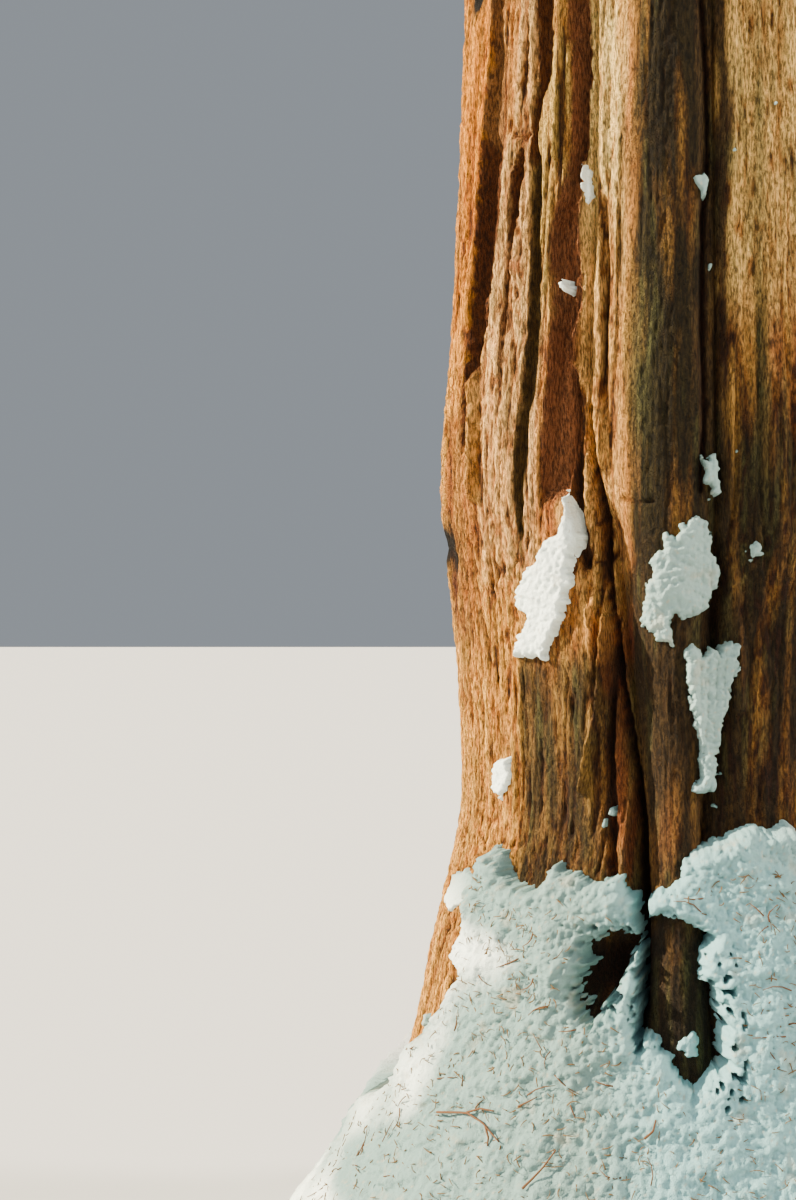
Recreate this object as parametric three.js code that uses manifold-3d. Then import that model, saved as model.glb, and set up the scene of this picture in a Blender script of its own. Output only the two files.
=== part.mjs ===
// A mature giant sequoia in winter: a fluted trunk with a snow-banked root flare, short stout boughs and
// rounded masses of foliage. The living tree is 72 m tall and is drawn evenly scaled to 40 m.
// Units are millimetres and +Z is up. The origin is the centre of the flat cut under the trunk.
// Angles are degrees round the trunk: 0 faces the viewer at -Y, and they grow towards +X.
import * as THREE from "three";
import { mergeVertices } from "three/addons/utils/BufferGeometryUtils.js";
import Module from "manifold-3d";

const wasm = await Module();
wasm.setup();
const { Manifold } = wasm;

// Driving sizes of the whole tree
const HEIGHT = 40000;
const TRUNK_TOP = 38300;
const TIP_RADIUS = 30;
const LEAN = 260; // how far the tip stands to the +X side of the foot
const LEAN_BEND = 1.5; // over 1 keeps the foot upright and bends the upper trunk
const CLEARANCE = 0.4; // air between neighbouring solids

// Crest radius of the trunk at [height, radius]: root flare, waist, swelling, then a long even taper
const TAPER = [
  [0, 1690], [350, 1420], [600, 1240], [1000, 1060], [1400, 965], [1900, 850], [2200, 845], [2600, 870],
  [3150, 930], [4000, 880], [5100, 835], [8000, 765], [14000, 685], [20000, 590], [26000, 465],
  [32000, 300], [36000, 155], [TRUNK_TOP, TIP_RADIUS],
];
// Share of a furrow's full depth that is left at [height, share]
const FURROW_SHARE = [
  [0, 1.7], [900, 1.25], [2000, 1], [5000, 0.95], [9000, 0.6], [18000, 0.3], [30000, 0.1], [HEIGHT, 0],
];
// Heights of the rings of the trunk's surface
const RINGS = [
  0, 280, 560, 860, 1180, 1500, 1820, 2160, 2560, 2960, 3400, 4000, 4800, 6200, 8500, 12000, 16500, 21500,
  26500, 31000, 35000, TRUNK_TOP,
];

// The furrows that part the trunk into columns. `turn` is the angle, or the angle at [height, angle]; `depth`
// is in millimetres; `gain` is how far the column to the right of it flares at the ground.
const MAIN_FURROW = [
  [0, -24], [900, -22], [1500, -20], [1700, -15], [2150, -18], [2650, -22], [3000, -25], [3350, -30],
  [HEIGHT, -30],
];
const RIGHT_FURROW = [[0, 6], [1100, 0], [1700, -2], [2500, 1], [HEIGHT, 1]];
const FURROWS = [
  { turn: MAIN_FURROW, depth: 170, gain: 0.94 },
  { turn: RIGHT_FURROW, depth: 135, gain: 1.02 },
  { turn: 37, depth: 80, gain: 0.95 },
  { turn: 70, depth: 100, gain: 1.07 },
  { turn: 104, depth: 75, gain: 0.98 },
  { turn: 139, depth: 120, gain: 1.08 },
  { turn: 174, depth: 80, gain: 0.94 },
  { turn: 209, depth: 110, gain: 1.05 },
  { turn: 243, depth: 70, gain: 0.97 },
  { turn: 267, depth: 55, gain: 1 },
  { turn: 290, depth: 45, gain: 1 },
  { turn: 309, depth: 60, gain: 1 },
];
const SWAY = { degrees: 2.2, wave: 2900, shift: 1.7 }; // how the furrows round the back wander as they climb
const COLUMN_STEPS = [0, 0.14, 0.38, 0.62, 0.86]; // where the surface is drawn across one column
const ARCH_POWER = 0.55; // under 1 makes a column full, with steep sides
const FLARE_TOP = 1900; // the columns' own flares end here

// Reach of the crown from the trunk's axis at [height, reach]
const CROWN = [
  [14000, 3300], [18000, 4650], [23000, 5000], [28000, 4350], [32500, 3300], [36000, 2150], [HEIGHT, 900],
];
const GOLDEN_ANGLE = 137.508;
const SEEDS = { plan: 11, boughMass: 400, topMass: 200, tipMass: 300 };
const BOUGH = {
  count: 22,
  lowest: 15300,
  highest: 35300,
  crowding: 0.94, // under 1 sets the boughs a little closer towards the top
  firstAngle: 62,
  angleShake: 7,
  reachShake: [0.93, 1.05],
  root: 0.3, // where it starts inside the trunk, as a share of the trunk's radius
  girth: 0.042, // its radius at the trunk, as a share of its reach
  taper: 0.5, // its radius at the tip, as a share of that
  dip: { root: 0.02, elbow: 0.05 }, // how far these lie below its height, as shares of its reach
  rise: [-0.08, 0.16], // how far the lowest and the highest bough's masses stand above it, as such shares
  sides: 5,
  segments: 3,
};

// A mass of foliage. Its half sizes outwards, across and up are shares of the reach.
const MASS = {
  size: { outward: 0.42, across: 0.7, up: 0.56 },
  tip: { back: 0.72, down: 0.12 }, // where the bough ends, in half sizes from the mass's centre
  gap: 25, // kept free between two masses
  trunkGap: 40,
  boughGap: 60,
  core: 0.66, // the dense middle, as a share of the half sizes
  lumps: 0.26, // how uneven the core is
  drawIn: 0.9, // how far one of its corners is drawn in at a time until it is in the mass's space
  twigs: 9, // tried in turn; each ends in one spray
  twigRadius: 0.02, // as a share of the outward half size
  twigEnd: 0.57, // how far out a twig reaches, in half sizes
  twigShake: 30, // degrees
};
const TOP_MASSES = {
  count: 3,
  height: 36850,
  step: 330, // how much higher each stands than the one before
  reach: 1950,
  angle: 20,
  outward: 0.42, // half sizes as shares of the reach
  across: 0.62,
  up: 1500,
  stem: 0.4, // how far below its centre it leaves the trunk, in half sizes
};
const TOP_STEM = 0.06; // the radius of a top mass's stem, as a share of its outward half size
const STRAIGHT_TAPER = 0.6; // how much of its radius a stem or twig keeps at its end
const STEM_FIT = 0.85; // a mass's stem is this much slimmer than the tip of its bough
const TIP_MASS = { across: 1050, up: 1550, leader: 1000, leaderThickness: 60 };
// A spray of scale-leaved shoots: its outline as [share of its length, share across], and where it stands
const SPRAY = {
  outline: [[0, 0], [0.62, -0.42], [0.64, -0.16], [1, 0], [0.64, 0.16], [0.62, 0.42]],
  thickest: 0.46,
  root: 0.48, // how far out it is rooted, in half sizes
  tilt: 0.35, // how far it turns from its twig's way
  length: 1.1, // as shares of the mass's outward half size
  thickness: 0.08,
  cuts: [1, 0.85, 0.7, 0.55, 0.45], // lengths that are tried in turn until it stays in the mass's space
};

// Snow that lies on the bark. Each piece is a list of stations from left to right, each [angle, lower edge,
// upper edge]. Two stations close together make a step, where a piece begins to bridge a hollow.
const FOOT_SNOW = {
  snow_foot_left: {
    thick: 90,
    stations: [
      [-88, 0, 870], [-77.5, 0, 955], [-73.5, 0, 1150], [-63, 0, 1350], [-61.5, 0, 1680], [-56.5, 0, 1815],
      [-51.5, 0, 1740], [-43, 0, 1690], [-36, 0, 1785], [-30.2, 0, 1740], [-30, 1550, 1740],
      [-27.5, 1570, 1770], [-22.5, 1560, 1730], [-19.3, 1520, 1645],
    ],
  },
  snow_foot_middle: {
    thick: 100,
    stations: [
      [-29.8, 0, 1300], [-22, 0, 1310], [-18.6, 0, 1340], [-17, 0, 1090], [-9, 0, 1060], [-3.4, 0, 1040],
    ],
  },
  snow_foot_right: {
    thick: 100,
    stations: [
      [-15.6, 1600, 1690], [-13.5, 1590, 1725], [-9, 1590, 1755], [-5.5, 1580, 1885], [-3.2, 1580, 1915],
      [-3, 0, 1920], [3, 0, 1965], [9, 0, 1935], [14, 0, 1960], [22, 0, 1900], [34, 0, 1700], [47, 0, 1480],
      [57, 0, 1240],
    ],
  },
  snow_foot_side: {
    thick: 90,
    stations: [[57.6, 0, 1230], [72, 0, 1000], [86, 0, 1240], [100, 0, 1100], [116, 0, 780], [126, 0, 720]],
  },
  snow_foot_back: {
    thick: 95,
    stations: [[126.6, 0, 710], [142, 0, 960], [158, 0, 1300], [174, 0, 1120], [190, 0, 820], [200, 0, 700]],
  },
  snow_foot_far_left: {
    thick: 85,
    stations: [[200.6, 0, 690], [216, 0, 900], [232, 0, 1050], [248, 0, 860], [262, 0, 780], [271.4, 0, 860]],
  },
};
const SNOW_PATCHES = {
  snow_main_furrow: {
    thick: 45,
    stations: [
      [-49.2, 2540, 2710], [-45, 2512, 2780], [-41, 2526, 2830], [-36.7, 2610, 2930], [-33, 2720, 3095],
      [-30.8, 2820, 3060],
    ],
  },
  snow_middle_column: {
    thick: 50,
    stations: [
      [-15.6, 2650, 2760], [-13, 2600, 2920], [-9.5, 2575, 2965], [-5.5, 2670, 2985], [0, 2710, 2960],
      [2, 2780, 2860],
    ],
  },
  snow_right_furrow: {
    thick: 50,
    stations: [
      [-6.2, 2450, 2560], [-4.5, 2070, 2570], [-1, 2060, 2530], [2.2, 2080, 2545], [4, 2280, 2580],
      [6, 2430, 2565],
    ],
  },
  snow_left_column: { thick: 28, stations: [[-61.5, 2030, 2110], [-58, 1990, 2140], [-54, 2060, 2150]] },
  snow_back_furrow: {
    thick: 50,
    stations: [[133, 2520, 2700], [136, 2380, 2830], [140, 2300, 2960], [143.5, 2560, 3000]],
  },
};
// How each kind lies: where its surface is drawn from the lower to the upper edge, how far it follows the
// furrows there (1 is all the way), and what it has more at the ground
const LIE = {
  foot: { steps: [0, 0.3, 0.62, 0.86, 1], sag: (share) => 0.3 * share, spread: 70 },
  patch: { steps: [0, 0.3, 0.72, 1], sag: () => 0.8, spread: 0 },
};
const SNOW_RIM = 0.3; // thickness of a free edge, as a share of the middle
const SNOW_BURIED = 120; // how far a piece runs inwards before the trunk's own shape is cut from it

// Colours and finishes from the photograph
const LOOKS = {
  bark: { color: 0x7d4526, roughness: 0.92, metalness: 0 },
  boughBark: { color: 0x6f4630, roughness: 0.9, metalness: 0 },
  foliage: { color: 0x40582f, roughness: 0.75, metalness: 0 },
  snow: { color: 0xe9f0f4, roughness: 0.6, metalness: 0 },
};

const radians = THREE.MathUtils.degToRad;
const mix = THREE.MathUtils.lerp;

// A repeatable stream of numbers between 0 and 1 (the mulberry32 generator)
function stream(seed) {
  let state = seed >>> 0;
  return () => {
    state = (state + 0x6d2b79f5) >>> 0;
    let t = Math.imul(state ^ (state >>> 15), 1 | state);
    t = (t + Math.imul(t ^ (t >>> 7), 61 | t)) ^ t;
    return ((t ^ (t >>> 14)) >>> 0) / 4294967296;
  };
}

// A smooth curve through a table of [place, value]: cubic Hermite, with slopes from the neighbouring points
function along(table, place) {
  const last = table.length - 1;
  if (place <= table[0][0]) return table[0][1];
  if (place >= table[last][0]) return table[last][1];
  const i = table.findIndex((row) => row[0] > place) - 1;
  const slope = (k) => {
    const before = table[Math.max(k - 1, 0)];
    const after = table[Math.min(k + 1, last)];
    return (after[1] - before[1]) / (after[0] - before[0]);
  };
  const width = table[i + 1][0] - table[i][0];
  const t = (place - table[i][0]) / width;
  const start = (2 * t ** 3 - 3 * t ** 2 + 1) * table[i][1] + (t ** 3 - 2 * t ** 2 + t) * slope(i) * width;
  return start + (3 * t ** 2 - 2 * t ** 3) * table[i + 1][1] + (t ** 3 - t ** 2) * slope(i + 1) * width;
}

const axisAt = (z) => new THREE.Vector2(LEAN * (z / HEIGHT) ** LEAN_BEND, 0);

// The level direction at an angle round the trunk, and the one a quarter turn on
const outwardAt = (angle) => new THREE.Vector3(Math.sin(radians(angle)), -Math.cos(radians(angle)), 0);
const acrossAt = (angle) => outwardAt(angle + 90);

// A point at an angle round the trunk, a radius out from its axis, and a height
function aroundTrunk(angle, radius, z) {
  const axis = axisAt(z);
  return new THREE.Vector3(axis.x, axis.y, z).addScaledVector(outwardAt(angle), radius);
}

function furrowAngle(index, z) {
  const { turn } = FURROWS[index];
  if (Array.isArray(turn)) return along(turn, z);
  return turn + SWAY.degrees * Math.sin(z / SWAY.wave + index * SWAY.shift);
}

// The angle at a share of the way across a column
function columnAngle(index, share, z) {
  const from = furrowAngle(index, z);
  let to = furrowAngle((index + 1) % FURROWS.length, z);
  while (to < from) to += 360;
  return mix(from, to, share);
}

// Crest radius of one column, with its own flare at the foot
function columnRadius(index, z) {
  const low = Math.max(0, 1 - z / FLARE_TOP);
  return along(TAPER, z) * (1 + (FURROWS[index].gain - 1) * low);
}

// Radius of the trunk in one column, at a share of the way across it: a full arch between two furrows.
// `furrowed` scales the furrows: 1 is the bark, and 0 the smooth line over the crests.
function trunkRadius(index, share, z, furrowed = 1) {
  const count = FURROWS.length;
  const [before, after] = [(index + count - 1) % count, (index + 1) % count];
  const own = columnRadius(index, z);
  const beside = columnRadius(share < 0.5 ? before : after, z);
  const crest = mix((own + beside) / 2, own, 1 - Math.abs(2 * share - 1));
  const depth = mix(FURROWS[index].depth, FURROWS[after].depth, share) * along(FURROW_SHARE, z);
  const arch = Math.sin(Math.PI * share) ** ARCH_POWER;
  return crest - furrowed * depth * (1 - arch);
}

// Radius of the trunk at any angle and height
function radiusAt(angle, z, furrowed) {
  for (let index = 0; index < FURROWS.length; index++) {
    const from = columnAngle(index, 0, z);
    const width = columnAngle(index, 1, z) - from;
    const turned = THREE.MathUtils.euclideanModulo(angle - from, 360);
    if (turned <= width) return trunkRadius(index, turned / width, z, furrowed);
  }
  return along(TAPER, z);
}

function middleOf(points) {
  return points.reduce((sum, point) => sum.add(point), new THREE.Vector3()).divideScalar(points.length);
}

// A closed surface of rings, with a flat cap at each end. The cap's triangles meet in the middle of its ring,
// or in one of its corners where the ring is convex.
function tubeGeometry(rings, convex = false) {
  const sides = rings[0].length;
  const points = rings.flat();
  const faces = [];
  const corner = (ring, side) => ring * sides + (side % sides);
  for (let ring = 0; ring + 1 < rings.length; ring++) {
    for (let side = 0; side < sides; side++) {
      const [a, b] = [corner(ring, side), corner(ring, side + 1)];
      const [c, d] = [corner(ring + 1, side + 1), corner(ring + 1, side)];
      faces.push(a, b, c, a, c, d);
    }
  }
  for (const ring of [0, rings.length - 1]) {
    const apex = convex ? corner(ring, 0) : points.length;
    if (!convex) points.push(middleOf(rings[ring]));
    for (let side = convex ? 1 : 0; side < (convex ? sides - 1 : sides); side++) {
      const [a, b] = [corner(ring, side), corner(ring, side + 1)];
      faces.push(...(ring === 0 ? [b, a] : [a, b]), apex);
    }
  }
  return new THREE.BufferGeometry().setFromPoints(points).setIndex(faces);
}

function solidOf(geometry) {
  const bare = geometry.clone();
  bare.deleteAttribute("normal");
  bare.deleteAttribute("uv");
  const merged = mergeVertices(bare, 1e-3);
  const vertProperties = new Float32Array(merged.attributes.position.array);
  const triVerts = new Uint32Array(merged.index.array);
  return new Manifold(new wasm.Mesh({ numProp: 3, vertProperties, triVerts }));
}

function geometryOf(solid) {
  const mesh = solid.getMesh();
  return new THREE.BufferGeometry()
    .setAttribute("position", new THREE.BufferAttribute(mesh.vertProperties, 3))
    .setIndex(new THREE.BufferAttribute(mesh.triVerts, 1));
}

// The largest of a solid's separate bodies: loose scraps and sealed hollows are left behind
function mainBody(solid) {
  return solid.decompose().reduce((best, body) => (body.volume() > best.volume() ? body : best));
}

function namedMesh(name, solid, look) {
  const mesh = new THREE.Mesh(geometryOf(solid), new THREE.MeshStandardMaterial(look));
  mesh.name = name;
  return mesh;
}

// The trunk, grown outwards by `swell` all over
function trunkSolid(swell = 0) {
  const rings = RINGS.map((z) => {
    const end = z === 0 ? -swell : z === TRUNK_TOP ? swell : 0;
    return FURROWS.flatMap((_, index) => COLUMN_STEPS.map((share) => {
      const point = aroundTrunk(columnAngle(index, share, z), trunkRadius(index, share, z) + swell, z);
      return point.setZ(z + end);
    }));
  });
  return solidOf(tubeGeometry(rings));
}

// A tapered limb along a curve, drawn as rings across it, grown by `swell` along its sides and past its tip
function limbSolid(curve, radii, sides, segments, swell = 0) {
  const frames = curve.computeFrenetFrames(segments, false);
  const rings = Array.from({ length: segments + 1 }, (_, step) => {
    const share = step / segments;
    const pastTip = step === segments ? swell : 0;
    const centre = curve.getPointAt(share).addScaledVector(frames.tangents[step], pastTip);
    const radius = mix(...radii, share) + swell;
    return Array.from({ length: sides }, (_, side) => {
      const turn = (2 * Math.PI * side) / sides;
      return centre.clone()
        .addScaledVector(frames.normals[step], radius * Math.cos(turn))
        .addScaledVector(frames.binormals[step], radius * Math.sin(turn));
    });
  });
  return solidOf(tubeGeometry(rings, true));
}

// A bough before the trunk is cut from it
function boughLimb(bough, swell = 0) {
  const curve = new THREE.CatmullRomCurve3([bough.root, bough.elbow, bough.tip]);
  const radius = BOUGH.girth * bough.reach;
  return limbSolid(curve, [radius, radius * BOUGH.taper], BOUGH.sides, BOUGH.segments, swell);
}

function straightLimb(from, to, radius, sides) {
  return limbSolid(new THREE.LineCurve3(from, to), [radius, STRAIGHT_TAPER * radius], sides, 1);
}

// The corners of one spray, a toothed blade with its flat side facing `up`: its outline, then its two peaks
function sprayPoints(root, direction, up, length, thickness) {
  const across = new THREE.Vector3().crossVectors(up, direction).normalize();
  const face = new THREE.Vector3().crossVectors(direction, across).normalize();
  const at = (ahead, aside, above) => root.clone()
    .addScaledVector(direction, ahead * length)
    .addScaledVector(across, aside * length)
    .addScaledVector(face, above);
  const rim = SPRAY.outline.map(([ahead, aside]) => at(ahead, aside, 0));
  return [...rim, at(SPRAY.thickest, 0, thickness / 2), at(SPRAY.thickest, 0, -thickness / 2)];
}

function spraySolid(points) {
  const rim = SPRAY.outline.length;
  const faces = SPRAY.outline.flatMap((_, i) => [i, (i + 1) % rim, rim, (i + 1) % rim, i, rim + 1]);
  return solidOf(new THREE.BufferGeometry().setFromPoints(points).setIndex(faces));
}

// The boughs from the lowest up, turned by the golden angle: how each runs, and the mass that it carries
function boughPlan() {
  const random = stream(SEEDS.plan);
  return Array.from({ length: BOUGH.count }, (_, i) => {
    const share = i / (BOUGH.count - 1);
    const height = mix(BOUGH.lowest, BOUGH.highest, share ** BOUGH.crowding);
    const angle = BOUGH.firstAngle + i * GOLDEN_ANGLE + BOUGH.angleShake * (2 * random() - 1);
    const reach = along(CROWN, height) * mix(...BOUGH.reachShake, random());
    const { outward, across, up } = MASS.size;
    const size = new THREE.Vector3(outward, across, up).multiplyScalar(reach);
    const centre = aroundTrunk(angle, reach - size.x, height + reach * mix(...BOUGH.rise, share));
    const trunk = along(TAPER, height);
    const tipRadius = reach - size.x - MASS.tip.back * size.x;
    const tip = aroundTrunk(angle, tipRadius, centre.z - MASS.tip.down * size.z);
    const root = aroundTrunk(angle, BOUGH.root * trunk, height - BOUGH.dip.root * reach);
    const elbow = aroundTrunk(angle, (trunk + tipRadius) / 2, height - BOUGH.dip.elbow * reach);
    const stemRadius = STEM_FIT * BOUGH.girth * BOUGH.taper * reach;
    const name = String(i + 1).padStart(2, "0");
    return { name, angle, reach, size, centre, root, elbow, tip, stemRadius, seed: SEEDS.boughMass + i };
  });
}

// The masses round the leader and over it, which stand on the trunk itself
function topPlan() {
  const { count, reach, outward, across, up } = TOP_MASSES;
  const masses = Array.from({ length: count }, (_, i) => {
    const angle = TOP_MASSES.angle + (i * 360) / count;
    const height = TOP_MASSES.height + TOP_MASSES.step * (i - 1);
    const size = new THREE.Vector3(outward * reach, across * reach, up);
    const centre = aroundTrunk(angle, reach - size.x, height);
    const tip = aroundTrunk(angle, 0, height - TOP_MASSES.stem * up);
    return { name: `top_${i + 1}`, angle, size, centre, tip, seed: SEEDS.topMass + i };
  });
  const size = new THREE.Vector3(TIP_MASS.across, TIP_MASS.across, TIP_MASS.up);
  const centre = aroundTrunk(0, 0, HEIGHT - TIP_MASS.up);
  const tip = aroundTrunk(0, 0, TRUNK_TOP - TIP_RADIUS);
  masses.push({ name: "tip", angle: 0, size, centre, tip, seed: SEEDS.tipMass });
  return masses.map((mass) => ({ ...mass, stemRadius: TOP_STEM * mass.size.x }));
}

// A point in a mass's own directions, in half sizes: outward, across, up
function placeIn(mass, out, side, up) {
  return mass.centre.clone()
    .addScaledVector(outwardAt(mass.angle), out * mass.size.x)
    .addScaledVector(acrossAt(mass.angle), side * mass.size.y)
    .add(new THREE.Vector3(0, 0, up * mass.size.z));
}

function distanceToBough(point, bough) {
  const nearest = (a, b) => new THREE.Line3(a, b).closestPointToPoint(point, true, new THREE.Vector3());
  const inner = nearest(bough.root, bough.elbow).distanceTo(point);
  return Math.min(inner, nearest(bough.elbow, bough.tip).distanceTo(point));
}

// Whether a point is in a mass's space: inside its rounded outline, clear of the trunk, on its own side of
// the planes between it and the other masses, and clear of every other bough
function inSpace(point, mass, plan) {
  const from = point.clone().sub(mass.centre);
  const ways = [from.dot(outwardAt(mass.angle)), from.dot(acrossAt(mass.angle)), from.z];
  if (Math.hypot(ways[0] / mass.size.x, ways[1] / mass.size.y, ways[2] / mass.size.z) > 1) return false;
  const fromAxis = new THREE.Vector2(point.x, point.y).distanceTo(axisAt(point.z));
  if (point.z < TRUNK_TOP + MASS.trunkGap && fromAxis < along(TAPER, point.z) + MASS.trunkGap) return false;
  return plan.every((other) => {
    if (other === mass) return true;
    const between = other.centre.clone().sub(mass.centre);
    const border = (between.length() * mass.size.x) / (mass.size.x + other.size.x) - MASS.gap;
    if (from.dot(between.normalize()) > border) return false;
    return !other.root || distanceToBough(point, other) > BOUGH.girth * other.reach + MASS.boughGap;
  });
}

// The dense middle of a mass: a lumpy rounded body, with each corner drawn in until it is in the mass's space
function coreSolid(mass, plan, random) {
  const ball = new THREE.IcosahedronGeometry(1, 1);
  ball.deleteAttribute("normal");
  ball.deleteAttribute("uv");
  const core = mergeVertices(ball, 1e-4);
  const corners = core.attributes.position;
  for (let i = 0; i < corners.count; i++) {
    const way = new THREE.Vector3().fromBufferAttribute(corners, i);
    way.multiplyScalar(MASS.core * (1 + MASS.lumps * (2 * random() - 1)));
    while (!inSpace(placeIn(mass, ...way), mass, plan)) way.multiplyScalar(MASS.drawIn);
    corners.setXYZ(i, ...placeIn(mass, ...way));
  }
  return solidOf(core);
}

// A twig from the middle of a mass and the spray it ends in, or nothing where no spray fits the mass's space.
// The twigs' ways are spread evenly over a ball and shaken a little, and the sprays hang a little.
function twigAndSpray(mass, plan, random, i) {
  const level = 1 - (2 * i + 1) / MASS.twigs;
  const turn = radians(mass.seed * GOLDEN_ANGLE + i * GOLDEN_ANGLE + MASS.twigShake * random());
  const flat = Math.sqrt(1 - level ** 2);
  const way = new THREE.Vector3(flat * Math.cos(turn), flat * Math.sin(turn), level);
  const end = placeIn(mass, ...way.clone().multiplyScalar(MASS.twigEnd));
  const root = placeIn(mass, ...way.clone().multiplyScalar(SPRAY.root));
  const sideways = new THREE.Vector3(-Math.sin(turn), Math.cos(turn), 0);
  const direction = end.clone().sub(mass.centre).normalize();
  direction.addScaledVector(sideways, SPRAY.tilt * (2 * random() - 1));
  direction.z -= SPRAY.tilt * random();
  direction.normalize();
  const up = new THREE.Vector3().crossVectors(direction, sideways);
  up.addScaledVector(sideways, 2 * random() - 1);
  const [length, thickness] = [SPRAY.length * mass.size.x, SPRAY.thickness * mass.size.x];
  const fits = SPRAY.cuts
    .map((cut) => sprayPoints(root, direction, up, cut * length, thickness))
    .find((points) => points.every((point) => inSpace(point, mass, plan)));
  return fits ? [straightLimb(mass.centre, end, MASS.twigRadius * mass.size.x, 3), spraySolid(fits)] : [];
}

// The spray that stands up from the tip of the leader
function leaderSpray(mass) {
  const root = mass.centre.clone().setZ(HEIGHT - TIP_MASS.leader);
  const [upwards, towardsViewer] = [new THREE.Vector3(0, 0, 1), new THREE.Vector3(0, -1, 0)];
  return spraySolid(sprayPoints(root, upwards, towardsViewer, TIP_MASS.leader, TIP_MASS.leaderThickness));
}

// One mass of foliage: a stem from its bough or the trunk, and the twigs and sprays that part from it by a
// seeded rule, all fused with the dense core. Whatever would leave the mass's space is skipped.
function massSolid(mass, plan, limbsSwollen) {
  const random = stream(mass.seed);
  const stem = straightLimb(mass.tip, mass.centre, mass.stemRadius, BOUGH.sides);
  const parts = [coreSolid(mass, plan, random), stem];
  for (let i = 0; i < MASS.twigs; i++) parts.push(...twigAndSpray(mass, plan, random, i));
  if (mass.name === "tip") parts.push(leaderSpray(mass));
  return mainBody(Manifold.union(parts).subtract(limbsSwollen));
}

// One piece of snow: its outer face follows the line over the crests, sinks into the furrows and thins to a
// rim along its free edges, and the trunk's own shape is cut from its back
function snowSolid({ thick, stations }, lie, trunkSwollen) {
  const rings = stations.map(([angle, low, high], station) => {
    const atEnd = lie === LIE.patch && (station === 0 || station === stations.length - 1);
    const points = lie.steps.map((share) => {
      const z = mix(low, high, share);
      const atRim = atEnd || share === 1 || (share === 0 && low > 0);
      const cover = (atRim ? SNOW_RIM : 1) * thick + lie.spread * (1 - share);
      return {
        outer: aroundTrunk(angle, radiusAt(angle, z, lie.sag(share)) + cover, z),
        inner: aroundTrunk(angle, radiusAt(angle, z, 1) - SNOW_BURIED, z),
      };
    });
    return [...points.map(({ outer }) => outer), ...points.map(({ inner }) => inner).reverse()];
  });
  return mainBody(solidOf(tubeGeometry(rings.reverse())).subtract(trunkSwollen));
}

function group(name, meshes) {
  const made = new THREE.Group();
  made.name = name;
  made.add(...meshes);
  return made;
}

function buildTree() {
  const trunkSwollen = trunkSolid(CLEARANCE);
  const boughs = boughPlan();
  const masses = [...boughs, ...topPlan()];
  const limbsSwollen = Manifold.union([trunkSwollen, ...boughs.map((bough) => boughLimb(bough, CLEARANCE))]);
  const snow = (pieces, lie) => Object.entries(pieces).map(([name, piece]) =>
    namedMesh(name, snowSolid(piece, lie, trunkSwollen), LOOKS.snow));
  return group("giant_sequoia_tree", [
    namedMesh("trunk", trunkSolid(), LOOKS.bark),
    group("boughs", boughs.map((bough) =>
      namedMesh(`bough_${bough.name}`, mainBody(boughLimb(bough).subtract(trunkSwollen)), LOOKS.boughBark))),
    group("crown", masses.map((mass) =>
      namedMesh(`foliage_${mass.name}`, massSolid(mass, masses, limbsSwollen), LOOKS.foliage))),
    group("snow", [...snow(FOOT_SNOW, LIE.foot), ...snow(SNOW_PATCHES, LIE.patch)]),
  ]);
}

export default buildTree();
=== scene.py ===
"""A giant sequoia in winter, drawn evenly scaled to 40 m: bark relief, snow, boughs and foliage.

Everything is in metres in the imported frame: +Z is up, and the origin is the centre of the flat cut under the
trunk. Angles are degrees round the trunk: 0 faces the viewer at -Y, and they grow towards +X.
"""

import logging
import math
from collections.abc import Callable, Iterator, Sequence
from dataclasses import dataclass, field
from enum import Enum
from functools import partial
from itertools import product

import bpy
import numpy as np
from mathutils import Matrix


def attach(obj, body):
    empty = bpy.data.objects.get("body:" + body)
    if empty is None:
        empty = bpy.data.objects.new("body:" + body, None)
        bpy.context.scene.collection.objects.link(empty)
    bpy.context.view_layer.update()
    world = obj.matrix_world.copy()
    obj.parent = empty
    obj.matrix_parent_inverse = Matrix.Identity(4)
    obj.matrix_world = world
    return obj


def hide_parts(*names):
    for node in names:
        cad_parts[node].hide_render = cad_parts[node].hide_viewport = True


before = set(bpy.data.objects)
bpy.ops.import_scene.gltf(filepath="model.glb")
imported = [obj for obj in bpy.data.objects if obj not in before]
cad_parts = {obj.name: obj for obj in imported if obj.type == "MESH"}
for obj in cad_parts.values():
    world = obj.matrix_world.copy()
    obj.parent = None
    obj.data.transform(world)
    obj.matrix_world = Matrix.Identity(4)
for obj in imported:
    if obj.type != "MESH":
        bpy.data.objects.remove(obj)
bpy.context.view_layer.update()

Array = np.ndarray
Table = Sequence[tuple[float, float]]
Outline = tuple[tuple[float, float], ...]
Colour = tuple[float, float, float]

PIECE_LIMIT = 190000  # triangles in one piece
GOLDEN_ANGLE = 137.508
UP = np.array([0.0, 0.0, 1.0])
WORD = 0xFFFFFFFF  # the largest number that the bough stream works with
STREAM_STEP = 0x6D2B79F5

log = logging.getLogger("sequoia")


class Body(Enum):
    """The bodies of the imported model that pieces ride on."""

    ROOT = "root"


class Slot(Enum):
    """The record's material slots."""

    BARK = "bark"
    BOUGH_BARK = "bough_bark"
    FOLIAGE = "foliage"
    SNOW = "snow"


# Curves, distances and noise


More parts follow.
